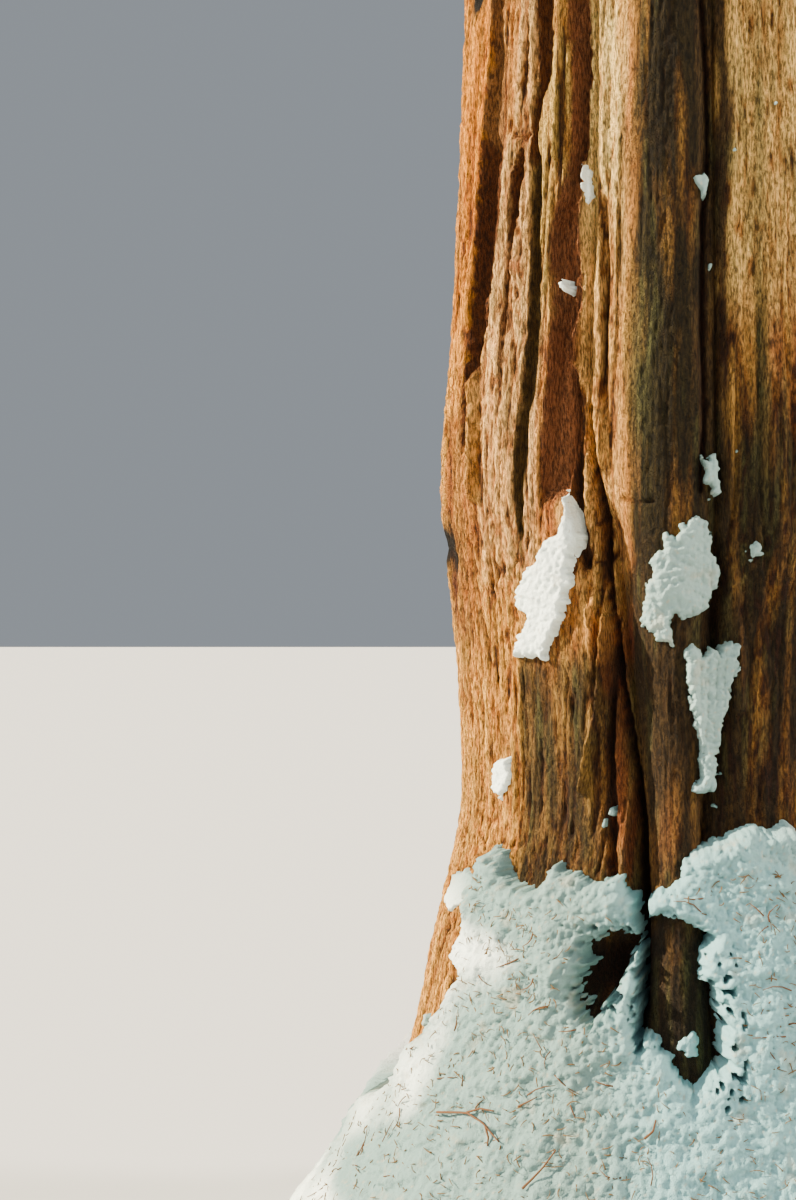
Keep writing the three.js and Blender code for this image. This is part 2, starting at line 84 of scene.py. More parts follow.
def along(table: Table, place: Array) -> Array:
    """Read a smooth curve through a table: cubic Hermite, with slopes from the neighbouring rows.

    Args:
        table: Rows of (place, value), rising in place.
        place: Where to read it; past the ends the curve keeps its end values.

    Returns:
        The values, in the shape of place.
    """
    places, values = np.array(table, float).T
    before = np.r_[0, np.arange(len(places) - 1)]
    after = np.r_[np.arange(1, len(places)), len(places) - 1]
    slopes = (values[after] - values[before]) / (places[after] - places[before])
    place = np.clip(place, places[0], places[-1])
    i = np.clip(np.searchsorted(places, place, side="right") - 1, 0, len(places) - 2)
    width = places[i + 1] - places[i]
    t = (place - places[i]) / width
    start = (2 * t**3 - 3 * t**2 + 1) * values[i] + (t**3 - 2 * t**2 + t) * slopes[i] * width
    return start + (3 * t**2 - 2 * t**3) * values[i + 1] + (t**3 - t**2) * slopes[i + 1] * width


def ease(low: float, high: float, value: Array) -> Array:
    """Rise smoothly from 0 at low to 1 at high: 3 t squared less 2 t cubed."""
    t = np.clip((value - low) / (high - low), 0, 1)
    return t * t * (3 - 2 * t)


def window(value: Array, low: float, high: float, soft: float) -> Array:
    """Be 1 between low and high, and fall smoothly to 0 over `soft` outside them."""
    return ease(low - soft, low, value) * (1 - ease(high, high + soft, value))


def area(
    angle: Array, z: Array, angles: Sequence[float], heights: Sequence[float], soft: float, soft_up: float
) -> Array:
    """Be 1 between two angles and two heights, and fall to 0 over `soft` and `soft_up` outside them."""
    return window(angle, *angles, soft) * window(z, *heights, soft_up)


def mix(a: Array | float, b: Array | float, share: Array | float) -> Array:
    """Blend from a at share 0 to b at share 1."""
    return a + (b - a) * share


def paint(colours: Array | Colour, other: Array | Colour, share: Array) -> Array:
    """Blend colours towards others, by a share for each row."""
    return mix(np.asarray(colours), np.asarray(other), share[:, None])


def unit(vectors: Array) -> Array:
    """Scale vectors to length 1 along their last axis."""
    return vectors / np.maximum(np.linalg.norm(vectors, axis=-1, keepdims=True), 1e-12)


def distance_to_path(across: Array, up: Array, path: Array, closed: bool = False) -> Array:
    """Find the distance from points on a flat chart to a line of straight stretches.

    Args:
        across: First coordinate of the points.
        up: Second coordinate of the points.
        path: The line's corners, as rows of (across, up).
        closed: Whether the last corner joins the first.

    Returns:
        The shortest distance for each point: to the nearest place on any stretch.
    """
    ends = np.roll(path, -1, axis=0) if closed else path[1:]
    nearest = np.full(across.shape, np.inf)
    for (ax, ay), (bx, by) in zip(path, ends):
        length = max((bx - ax) ** 2 + (by - ay) ** 2, 1e-12)
        share = np.clip(((across - ax) * (bx - ax) + (up - ay) * (by - ay)) / length, 0, 1)
        gap = np.hypot(across - ax - share * (bx - ax), up - ay - share * (by - ay))
        nearest = np.minimum(nearest, gap)
    return nearest


def depth_inside(across: Array, up: Array, outline: Array) -> Array:
    """Find how far points lie inside a closed outline: the distance to it, negative outside.

    A point is inside when a level line from it crosses the outline an odd number of times.

    Args:
        across: First coordinate of the points on a flat chart.
        up: Second coordinate of the points.
        outline: The outline's corners, as rows of (across, up).

    Returns:
        The depth of each point.
    """
    inside = np.zeros(across.shape, bool)
    for (ax, ay), (bx, by) in zip(outline, np.roll(outline, -1, axis=0)):
        if ay != by:
            crosses = (ay > up) != (by > up)
            inside ^= crosses & (across < (bx - ax) * (up - ay) / (by - ay) + ax)
    return np.where(inside, 1, -1) * distance_to_path(across, up, outline, closed=True)


@dataclass(frozen=True)
class Cells:
    """One reading of a noise: a shift that sets it apart from others, and its cells' sizes in metres."""

    shift: float
    across: float
    up: float = 0.0  # 0 is the same as across


class Noise:
    """Repeatable smooth noise in space, by gradients at whole-number corners."""

    SIZE = 1024
    GAIN = 1.7  # brings the values to about -1 to 1

    def __init__(self, seed: int) -> None:
        """Draw the shuffled corners and their gradients.

        Args:
            seed: Starts the stream of random numbers.
        """
        random = np.random.default_rng(seed)
        self.order = random.permutation(self.SIZE).astype(np.int32)
        self.ways = unit(random.normal(size=(self.SIZE, 3))).astype(np.float32)

    def at(self, points: Array, scale: Sequence[float] | float) -> Array:
        """Read the noise: the corners' slopes towards each point, blended by an eased share on each axis.

        Args:
            points: Rows of (x, y, z).
            scale: The size of one cell, in metres, on all axes or on each.

        Returns:
            One value for each point.
        """
        spot = points / np.asarray(scale, float)
        cell = np.floor(spot).astype(np.int32)
        part = (spot - cell).astype(np.float32)
        share = part**3 * (part * (part * 6 - 15) + 10)
        last = self.SIZE - 1
        total = np.zeros(len(points), np.float32)
        for corner in product((0, 1), repeat=3):
            x, y, z = (cell + np.array(corner, np.int32)).T
            index = self.order[(self.order[(self.order[x & last] + y) & last] + z) & last]
            slope = np.einsum("ij,ij->i", part - np.array(corner, np.float32), self.ways[index])
            total += slope * np.where(corner, share, 1 - share).prod(axis=1)
        return self.GAIN * total

    def read(self, points: Array, cells: Cells) -> Array:
        """Read the noise at shifted points, in cells of their own size."""
        return self.at(points + cells.shift, (cells.across, cells.across, cells.up or cells.across))


def stream(seed: int) -> Iterator[float]:
    """Give the repeatable numbers between 0 and 1 that place the boughs (the mulberry32 generator)."""
    state = seed
    while True:
        state = (state + STREAM_STEP) & WORD
        t = ((state ^ (state >> 15)) * (1 | state)) & WORD
        t = ((t + (((t ^ (t >> 7)) * (61 | t)) & WORD)) & WORD) ^ t
        yield ((t ^ (t >> 14)) & WORD) / (WORD + 1)


# Finishes

SHEEN = 0.25  # how strongly the finishes reflect
NOISE_ROUGHNESS = 0.62
MIX_A, MIX_B, MIX_RESULT = 6, 7, 2  # a colour mix node's sockets
UNDER_TINT = (0.5, 0.4, 0.3)  # what a tinted finish shows where tints can't be read


def new_material(name: str, roughness: float, base: Colour) -> tuple[bpy.types.Material, bpy.types.Node]:
    """Make a material with one surface shader.

    Args:
        name: The material's name.
        roughness: The shader's roughness.
        base: The shader's own colour.

    Returns:
        The material and its shader node.
    """
    material = bpy.data.materials.new(name)
    material.use_nodes = True
    material.diffuse_color = (*base, 1)
    shader = material.node_tree.nodes["Principled BSDF"]
    shader.inputs["Roughness"].default_value = roughness
    shader.inputs["Base Color"].default_value = (*base, 1)
    shader.inputs["Specular IOR Level"].default_value = SHEEN
    return material, shader


def add_noise(material: bpy.types.Material, scale: Sequence[float], detail: float) -> bpy.types.Node:
    """Add a noise texture on the object's own coordinates, stretched by a Mapping node.

    Args:
        material: The material that gets it.
        scale: Its waves a metre along each axis.
        detail: How many finer waves it has.

    Returns:
        The noise's node.
    """
    nodes, links = material.node_tree.nodes, material.node_tree.links
    place = nodes.new("ShaderNodeTexCoord")
    mapping = nodes.new("ShaderNodeMapping")
    mapping.inputs["Scale"].default_value = scale
    noise = nodes.new("ShaderNodeTexNoise")
    noise.inputs["Scale"].default_value = 1
    noise.inputs["Detail"].default_value = detail
    noise.inputs["Roughness"].default_value = NOISE_ROUGHNESS
    links.new(place.outputs["Object"], mapping.inputs["Vector"])
    links.new(mapping.outputs["Vector"], noise.inputs["Vector"])
    return noise


def add_bump(material: bpy.types.Material, noises: Sequence[tuple[bpy.types.Node, float]]) -> None:
    """Raise the surface by one noise after another.

    Args:
        material: The material whose shader gets the bump.
        noises: Each noise and how far it raises the surface, in metres.
    """
    nodes, links = material.node_tree.nodes, material.node_tree.links
    normal = None
    for noise, distance in noises:
        bump = nodes.new("ShaderNodeBump")
        bump.inputs["Distance"].default_value = distance
        links.new(noise.outputs["Fac"], bump.inputs["Height"])
        if normal is not None:
            links.new(normal, bump.inputs["Normal"])
        normal = bump.outputs["Normal"]
    links.new(normal, nodes["Principled BSDF"].inputs["Normal"])


@dataclass(frozen=True)
class TintedFinish:
    """A finish whose base colour is the piece's own tint, made lighter and darker by a fine grain.

    The colour is the tint attribute times a grey between `dark` and `light`, chosen by stretched noise.
    """

    name: str
    roughness: float
    grain: tuple[float, float, float]  # waves a metre along each axis
    fine: tuple[float, float, float]
    dark: float
    light: float
    grain_rise: float
    fine_rise: float
    spread: float = 0.2  # how far from the noise's middle the two greys are; less is crisper

    def make(self) -> bpy.types.Material:
        """Build the material.

        Returns:
            The material.
        """
        material, shader = new_material(self.name, self.roughness, UNDER_TINT)
        nodes, links = material.node_tree.nodes, material.node_tree.links
        grain = add_noise(material, self.grain, 5)
        fine = add_noise(material, self.fine, 3)
        ramp = nodes.new("ShaderNodeValToRGB")
        for stop, side, grey in zip(ramp.color_ramp.elements, (-1, 1), (self.dark, self.light)):
            stop.position = 0.5 + side * self.spread
            stop.color = (grey, grey, grey, 1)
        tint = nodes.new("ShaderNodeAttribute")
        tint.attribute_name = TINT
        both = nodes.new("ShaderNodeMix")
        both.data_type = "RGBA"
        both.blend_type = "MULTIPLY"
        both.inputs["Factor"].default_value = 1
        links.new(grain.outputs["Fac"], ramp.inputs["Fac"])
        links.new(tint.outputs["Color"], both.inputs[MIX_A])
        links.new(ramp.outputs["Color"], both.inputs[MIX_B])
        links.new(both.outputs[MIX_RESULT], shader.inputs["Base Color"])
        add_bump(material, [(grain, self.grain_rise), (fine, self.fine_rise)])
        return material


@dataclass(frozen=True)
class PlainFinish:
    """A finish of one base colour with a fine grain in its surface, for small things dealt out by colour."""

    name: str
    base: Colour
    roughness: float
    grain: float = 90.0
    rise: float = 0.002

    def make(self) -> bpy.types.Material:
        """Build the material."""
        material, _ = new_material(self.name, self.roughness, self.base)
        add_bump(material, [(add_noise(material, (self.grain,) * 3, 2), self.rise)])
        return material


TINT = "tint"  # the attribute that carries a piece's own colours
BARK_FINISH = TintedFinish("bark", 0.96, (150, 150, 34), (300, 300, 130), 0.28, 1.34, 0.06, 0.02, 0.1)
BOUGH_FINISH = TintedFinish("bough_bark", 0.9, (22, 22, 16), (90, 90, 60), 0.7, 1.2, 0.012, 0.004)
SNOW_FINISH = TintedFinish("snow", 0.62, (70, 70, 70), (210, 210, 210), 0.95, 1.03, 0.006, 0.0035)
FLOOR_FINISH = PlainFinish("floor", (0.56, 0.57, 0.58), 0.95, 3.0, 0.0)
# Shaded and lit copies of one green: painted shade inside the crown, painted light at its rim and top, with a
# random spread.
FOLIAGE_FINISHES = (
    PlainFinish("foliage_shade", (0.026, 0.046, 0.02), 0.7),
    PlainFinish("foliage_part_shade", (0.044, 0.074, 0.03), 0.68),
    PlainFinish("foliage_green", (0.068, 0.108, 0.043), 0.66),
    PlainFinish("foliage_lit", (0.105, 0.15, 0.062), 0.64),
)
TWIG_FINISH = PlainFinish("twig", (0.15, 0.07, 0.038), 0.85, 60.0, 0.003)
CROWN_SNOW_FINISH = PlainFinish("crown_snow", (0.82, 0.86, 0.9), 0.6, 30.0, 0.01)
LITTER_FINISH = PlainFinish("litter_twig", (0.11, 0.05, 0.022), 0.85, 300.0, 0.001)
SHOOT_FINISH = PlainFinish("litter_shoot", (0.13, 0.075, 0.028), 0.8, 300.0, 0.001)


# Meshes from arrays


@dataclass
class Surface:
    """Points and faces that grow by whole arrays, each array of faces with its own number of corners."""

    points: list[Array] = field(default_factory=list)
    faces: list[Array] = field(default_factory=list)
    flat: list[bool] = field(default_factory=list)
    count: int = 0

    def add(self, points: Array, faces: Sequence[Array] = (), flat: bool = False) -> int:
        """Add points, and faces that number them from 0.

        Args:
            points: The points, in any shape that ends in xyz.
            faces: Arrays of faces, each with its own number of corners.
            flat: Whether the faces are shaded flat.

        Returns:
            The number that the first of these points now has.
        """
        first = self.count
        self.points.append(np.asarray(points, float).reshape(-1, 3))
        self.count += len(self.points[-1])
        for corners in faces:
            self.add_faces(np.asarray(corners) + first, flat)
        return first

    def add_faces(self, corners: Array, flat: bool) -> None:
        """Add faces between points that are there."""
        self.faces.append(corners)
        self.flat.append(flat)

    def triangles(self) -> int:
        """Count the triangles that the faces come to."""
        return sum(len(corners) * (corners.shape[1] - 2) for corners in self.faces)

    def mesh(self, name: str) -> bpy.types.Mesh:
        """Put the arrays into a mesh, smooth except where a part was added flat.

        Args:
            name: The mesh's name.

        Returns:
            The mesh.
        """
        mesh = bpy.data.meshes.new(name)
        mesh.vertices.add(self.count)
        mesh.vertices.foreach_set("co", np.concatenate(self.points).astype(np.float32).ravel())
        sizes = np.concatenate([np.full(len(c), c.shape[1]) for c in self.faces])
        mesh.loops.add(int(sizes.sum()))
        numbers = np.concatenate([c.ravel() for c in self.faces])
        mesh.loops.foreach_set("vertex_index", numbers.astype(np.int32))
        mesh.polygons.add(len(sizes))
        mesh.polygons.foreach_set("loop_start", np.r_[0, np.cumsum(sizes)[:-1]].astype(np.int32))
        smooth = np.concatenate([np.full(len(c), not flat) for c, flat in zip(self.faces, self.flat)])
        mesh.polygons.foreach_set("use_smooth", smooth)
        mesh.update(calc_edges=True)
        return mesh


def show(thing: bpy.types.Object) -> bpy.types.Object:
    """Put an object into the scene, and give it back."""
    bpy.context.scene.collection.objects.link(thing)
    return thing


def place_piece(
    name: str,
    surface: Surface,
    material: bpy.types.Material,
    slot: Slot,
    replaced: Sequence[str] = (),
    tint: Array | None = None,
) -> None:
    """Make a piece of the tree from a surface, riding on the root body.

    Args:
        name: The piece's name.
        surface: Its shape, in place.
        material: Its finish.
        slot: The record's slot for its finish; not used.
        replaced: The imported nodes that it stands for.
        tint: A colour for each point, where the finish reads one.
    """
    mesh = surface.mesh(name)
    if tint is not None:
        colours = mesh.attributes.new(TINT, "FLOAT_COLOR", "POINT")
        colours.data.foreach_set("color", np.c_[tint, np.ones(len(tint))].astype(np.float32).ravel())
    mesh.materials.append(material)
    piece = show(bpy.data.objects.new(name, mesh))
    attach(piece, Body.ROOT.value)
    if replaced:
        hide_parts(*replaced)
    log.info("%s: %d triangles", name, surface.triangles())


def grid_faces(rows: int, columns: int, wrap: bool = False) -> Array:
    """Number the four-cornered faces of a grid of points laid out row by row.

    Args:
        rows: The grid's rows.
        columns: Its columns.
        wrap: Whether the last column is joined to the first.

    Returns:
        A row of four numbers for each face.
    """
    row, column = np.mgrid[0 : rows - 1, 0 : columns if wrap else columns - 1]
    start, beside = row * columns, (column + 1) % columns
    corners = (start + column, start + beside, start + columns + beside, start + columns + column)
    return np.stack(corners, axis=-1).reshape(-1, 4)


def close_with(surface: Surface, apex: Array, faces: Array) -> None:
    """Close an open sheet by a cone from its rim to one hidden point.

    Every edge that only one face has is on the rim, and gets a triangle with the apex, turned the other way.

    Args:
        surface: Holds the sheet's points; gets the cone.
        apex: The hidden point.
        faces: The sheet's faces, as the surface numbers them.
    """
    start, end = faces.ravel(), np.roll(faces, -1, axis=1).ravel()
    count = np.int64(surface.count)
    rim = ~np.isin(start * count + end, end * count + start)
    cone = np.c_[end[rim], start[rim], np.full(rim.sum(), surface.count)]
    surface.add(apex)
    surface.add_faces(cone, flat=True)


def tubes(
    centres: Array, radii: Array, sides: int, relief: Callable[[Array], Array] | None = None
) -> Surface:
    """Carry a round section along many paths at once, and close the ends.

    A ring stands square to its path. Its corner k is the centre plus the radius times (the cosine of k turns
    along a level side way, the sine of k turns along the way square to both).

    Args:
        centres: Paths, as an array of (path, ring, xyz).
        radii: Radii, as an array of (path, ring).
        sides: Corners in a ring.
        relief: Gives how far each point is moved outwards, from all the points.

    Returns:
        The closed surface of all the tubes.
    """
    count, rings = radii.shape
    ways = unit(np.gradient(centres, axis=1))
    reference = np.where(np.abs(ways[:, :1, 2:]) > 0.9, np.array([1.0, 0, 0]), UP)
    side = unit(np.cross(ways, reference))
    over = np.cross(side, ways)
    turn = np.arange(sides) * 2 * np.pi / sides
    out = side[:, :, None] * np.cos(turn)[:, None] - over[:, :, None] * np.sin(turn)[:, None]
    points = centres[:, :, None] + radii[:, :, None, None] * out
    if relief is not None:
        points = points + relief(points.reshape(-1, 3)).reshape(count, rings, sides, 1) * out
    starts = np.arange(count)[:, None, None] * rings * sides
    walls = (grid_faces(rings, sides, wrap=True)[None] + starts).reshape(-1, 4)
    ring = np.arange(sides)
    ends = np.concatenate([starts[:, 0] + ring[::-1], starts[:, 0] + (rings - 1) * sides + ring])
    surface = Surface()
    surface.add(points, [walls, ends])
    return surface


# The trunk

WAIST_RADIUS = 0.95  # the trunk's radius where a chart of its bark is true to size
FINE, MIDDLING, COARSE = 0.007, 0.025, 0.06  # the smallest thing that a grid can show, in metres


def on_chart(path: Table) -> Array:
    """Turn rows of (angle, height) into metres on the bark's chart: the arc at the waist, and the height."""
    rows = np.array(path, float)
    return np.c_[np.radians(rows[:, 0]) * WAIST_RADIUS, rows[:, 1]]


@dataclass(frozen=True)
class Furrow:
    """One of the furrows that part the trunk into columns."""

    turn: float | Table  # its angle, or its angle at (height, angle)
    depth: float
    gain: float  # how far the column after it flares at the ground

    def angle(self, index: int, z: Array) -> Array:
        """Give its angle at each height: along its table, or swaying by a sine as it climbs."""
        if not isinstance(self.turn, (int, float)):
            return along(self.turn, z)
        return self.turn + 2.2 * np.sin(z / 2.9 + index * 1.7)


@dataclass(frozen=True)
class Fold:
    """A crease or a ridge in the bark, along a path of (angle, height): a bell in section.

    Its height is the rise times e to the minus (distance over half width) squared.
    """

    half_width: float
    rise: float
    path: Outline

    def lift(self, across: Array, z: Array) -> Array:
        """Give how far it moves the bark.

        Args:
            across: First coordinate of the points on the chart.
            z: Heights.

        Returns:
            The move outwards for each point, negative in a crease.
        """
        path = on_chart(self.path)
        reach = 3 * self.half_width
        low, high = path.min(axis=0) - reach, path.max(axis=0) + reach
        near = (across > low[0]) & (across < high[0]) & (z > low[1]) & (z < high[1])
        lift = np.zeros(across.shape)
        gap = distance_to_path(across[near], z[near], path)
        lift[near] = self.rise * np.exp(-((gap / self.half_width) ** 2))
        return lift


@dataclass(frozen=True)
class Groove:
    """A steep-sided, flat-bottomed groove between two edges that run up the bark, with painted shade inside.
    """

    depth: float
    edges: tuple[tuple[float, float, float], ...]  # rows of (height, left angle, right angle)
    # painted shade inside it
    colour: Colour
    soft: float = 1.1  # degrees that each side takes up

    def share(self, around: Array, z: Array, spare: float = 0.0) -> Array:
        """Give how far each point is in it, from 0 to 1: an ease in from each edge, and at each end.

        Args:
            around: Angles, from -180 to 180.
            z: Heights.
            spare: How many degrees further out the edges are taken.

        Returns:
            The share for each point.
        """
        heights, left, right = np.array(self.edges).T
        inside = ease(0, self.soft, around - np.interp(z, heights, left) + spare)
        inside *= ease(0, self.soft, np.interp(z, heights, right) - around + spare)
        return inside * window(z, heights[0], heights[-1], 0.12)


@dataclass(frozen=True)
class Stain:
    """A soft oval of another colour on the bark, which may also sink in or stand out."""

    angle: float
    height: float
    half_width: float
    half_height: float
    colour: Colour
    strength: float
    rise: float = 0.0

    def share(self, across: Array, z: Array) -> Array:
        """Give how much of it there is at points of the chart: a bell on each axis."""
        centre = math.radians(self.angle) * WAIST_RADIUS
        beside, above = (across - centre) / self.half_width, (z - self.height) / self.half_height
        return np.exp(-(beside**2) - above**2)


@dataclass(frozen=True)
class Zone:
    """A stretch of bark with painted sunlight or shade, or its own colour, between two angles and two heights,
    with soft edges.
    """

    angles: tuple[float, float]
    heights: tuple[float, float]
    colour: Colour
    strength: float
    soft: float = 4.0  # degrees
    soft_height: float = 0.35

    def share(self, angle: Array, z: Array) -> Array:
        """Give how much of the colour there is."""
        return self.strength * area(angle, z, self.angles, self.heights, self.soft, self.soft_height)


@dataclass(frozen=True)
class Crease:
    """Creases of one kind, where stretched noise is near 0, so that they wander, fork and close."""

    cells: Cells
    floor: float  # how near 0 the noise is in the bottom, and at the edge
    edge: float
    depth: float
    # how much painted shade it gets at the bottom
    dark: float

    def share(self, read: Callable[[Cells], Array]) -> Array:
        """Give how far each point is in one: 1 in the bottom, easing to 0 at the edge."""
        return 1 - ease(self.floor, self.edge, np.abs(read(self.cells)))


CREST = (0.8, 0.41, 0.085)
RUST = (0.56, 0.19, 0.042)
# painted sunlight on the right column's top
SUNLIT_GOLD = (0.98, 0.62, 0.19)
# painted shade deep in hollows
PIT_SHADE = (0.03, 0.011, 0.005)
LICHEN = (0.09, 0.09, 0.03)
CHAR = (0.012, 0.01, 0.009)
RUST_RED = (0.4, 0.1, 0.03)
# painted shade on the middle column
SHADED_OLIVE_BROWN = (0.027, 0.018, 0.005)
CREVICE_SHADE = (0.46, 0.3, 0.2)  # painted shade: what is left of each colour in a shallow hollow
# painted shade in the crevice
SHADED_DARK_RED = (0.16, 0.035, 0.01)
# Painted sunlight and shade for the most part. Light oranges and gold are painted sunlight on the left
# columns, the middle column's left flank and the right column's top, partly the pale colour of the ridges
# themselves. Dark browns and dark red are painted shade on the middle column, the right furrow, the crevice,
# the leg, the right column's foot and the low bark. The last zone turns the back a duller brown.
ZONES = (
    Zone((-100, -57), (3.5, 6), (0.9, 0.33, 0.015), 0.9),
    Zone((-100, -50), (1, 3.5), (0.95, 0.47, 0.08), 0.7),
    Zone((-59, -43), (3, 6), (1, 0.6, 0.23), 0.8),
    Zone((-33, -23), (3.9, 6), (1, 0.7, 0.24), 1, 2.5, 0.5),
    Zone((-33, -22), (2.9, 3.9), (0.75, 0.4, 0.11), 0.9, 2.5),
    Zone((-44, -35), (3.9, 4.6), (0.72, 0.46, 0.11), 0.9, 2),
    Zone((-56.5, -51.5), (4.45, 6), (0.62, 0.26, 0.045), 0.9, 1, 0.1),
    Zone((-78, -63), (2.7, 3.35), (0.5, 0.18, 0.03), 0.8, 2, 0.2),
    Zone((4, 40), (3.9, 7), SUNLIT_GOLD, 1.0, 1.5),
    Zone((-16, 0.5), (2.2, 7), SHADED_OLIVE_BROWN, 1.1, 5.5),
    Zone((-3.5, 2.5), (2.6, 6), (0.085, 0.05, 0.018), 0.9, 1.5),
    Zone((4, 80), (0, 3.1), (0.03, 0.018, 0.006), 0.97, 5, 0.9),
    Zone((-49, -25), (0, 2.45), (0.064, 0.042, 0.013), 0.95, 3, 0.2),
    Zone((-19, 4), (0, 2.7), (0.046, 0.026, 0.009), 0.96),
    Zone((-24.5, -20), (1.65, 2.6), SHADED_DARK_RED, 0.8, 1.2, 0.15),
    Zone((-60, 60), (0, 1.6), (0.02, 0.013, 0.006), 0.96, 8, 0.2),
    Zone((85, 250), (0, 60), (0.3, 0.15, 0.055), 0.6, 20),
)
FISSURES = Crease(Cells(0, 0.135, 2.8), 0.05, 0.15, 0.038, 0.85)
CLEFTS = Crease(Cells(47.1, 0.042, 2.4), 0.02, 0.22, 0.011, 0.6)
SEAMS = Crease(Cells(61, 0.03, 1.9), 0.03, 0.17, 0.009, 0.45)
BENDS = (Cells(0, 0.5, 1.7), Cells(31.7, 0.5, 1.7))
CRACKED = Cells(17.3, 0.4, 0.9)
SWELLS = Cells(11.3, 0.24, 2.2)
FIBRES = Cells(3.9, 0.019, 0.75)
CRUMBS = Cells(5.2, 0.017, 0.07)
CHIPS = Cells(6.6, 0.0125, 0.03)
SPECKS = Cells(15.5, 0.016, 0.12)
FRAYS = Cells(8.8, 0.05, 0.3)
STREAKS = Cells(2.2, 0.03, 0.7)
BLOTCHES = Cells(0, 0.3, 1.1)
TATTERS = Cells(7.7, 0.06, 0.5)
SWAYS = Cells(33, 0.3, 0.7)
LICHENS = Cells(9.1, 0.03, 0.35)
MOTTLES = Cells(4.4, 0.02, 0.12)
CALM = (  # where the bark is smooth: how far, its angles and heights, and how soft the edges are
    (0.92, (-20, -1), (1, 6), 6, 1),
    (0.7, (5, 32), (1, 6), 3, 1),
    (0.7, (-51, -30), (1, 2.5), 3, 0.3),
    (0.45, (-100, -50), (1, 3.1), 3, 0.4),
    (0.35, (-100, -30), (1, 5.6), 3, 0.3),
)
UNCRACKED = ((-98, -30), (1.5, 5.6), 4, 0.4)  # where there are no fissures
SUNLIT_FLANK = ((-33, -22), (3.1, 6), 3, 0.4)  # where there is no lichen: the sunlit flank, kept light for its painted sunlight
SUNLIT = ((5, 60), (3.7, 8), 3, 0.4)  # where the painted shade in hollows is weaker, on the sunlit column
SEAMED, HALF_SEAMED, SPECKED = (-100, -34, 3), (4, 60, 4), (3, 60, 3)  # two angles, and how soft


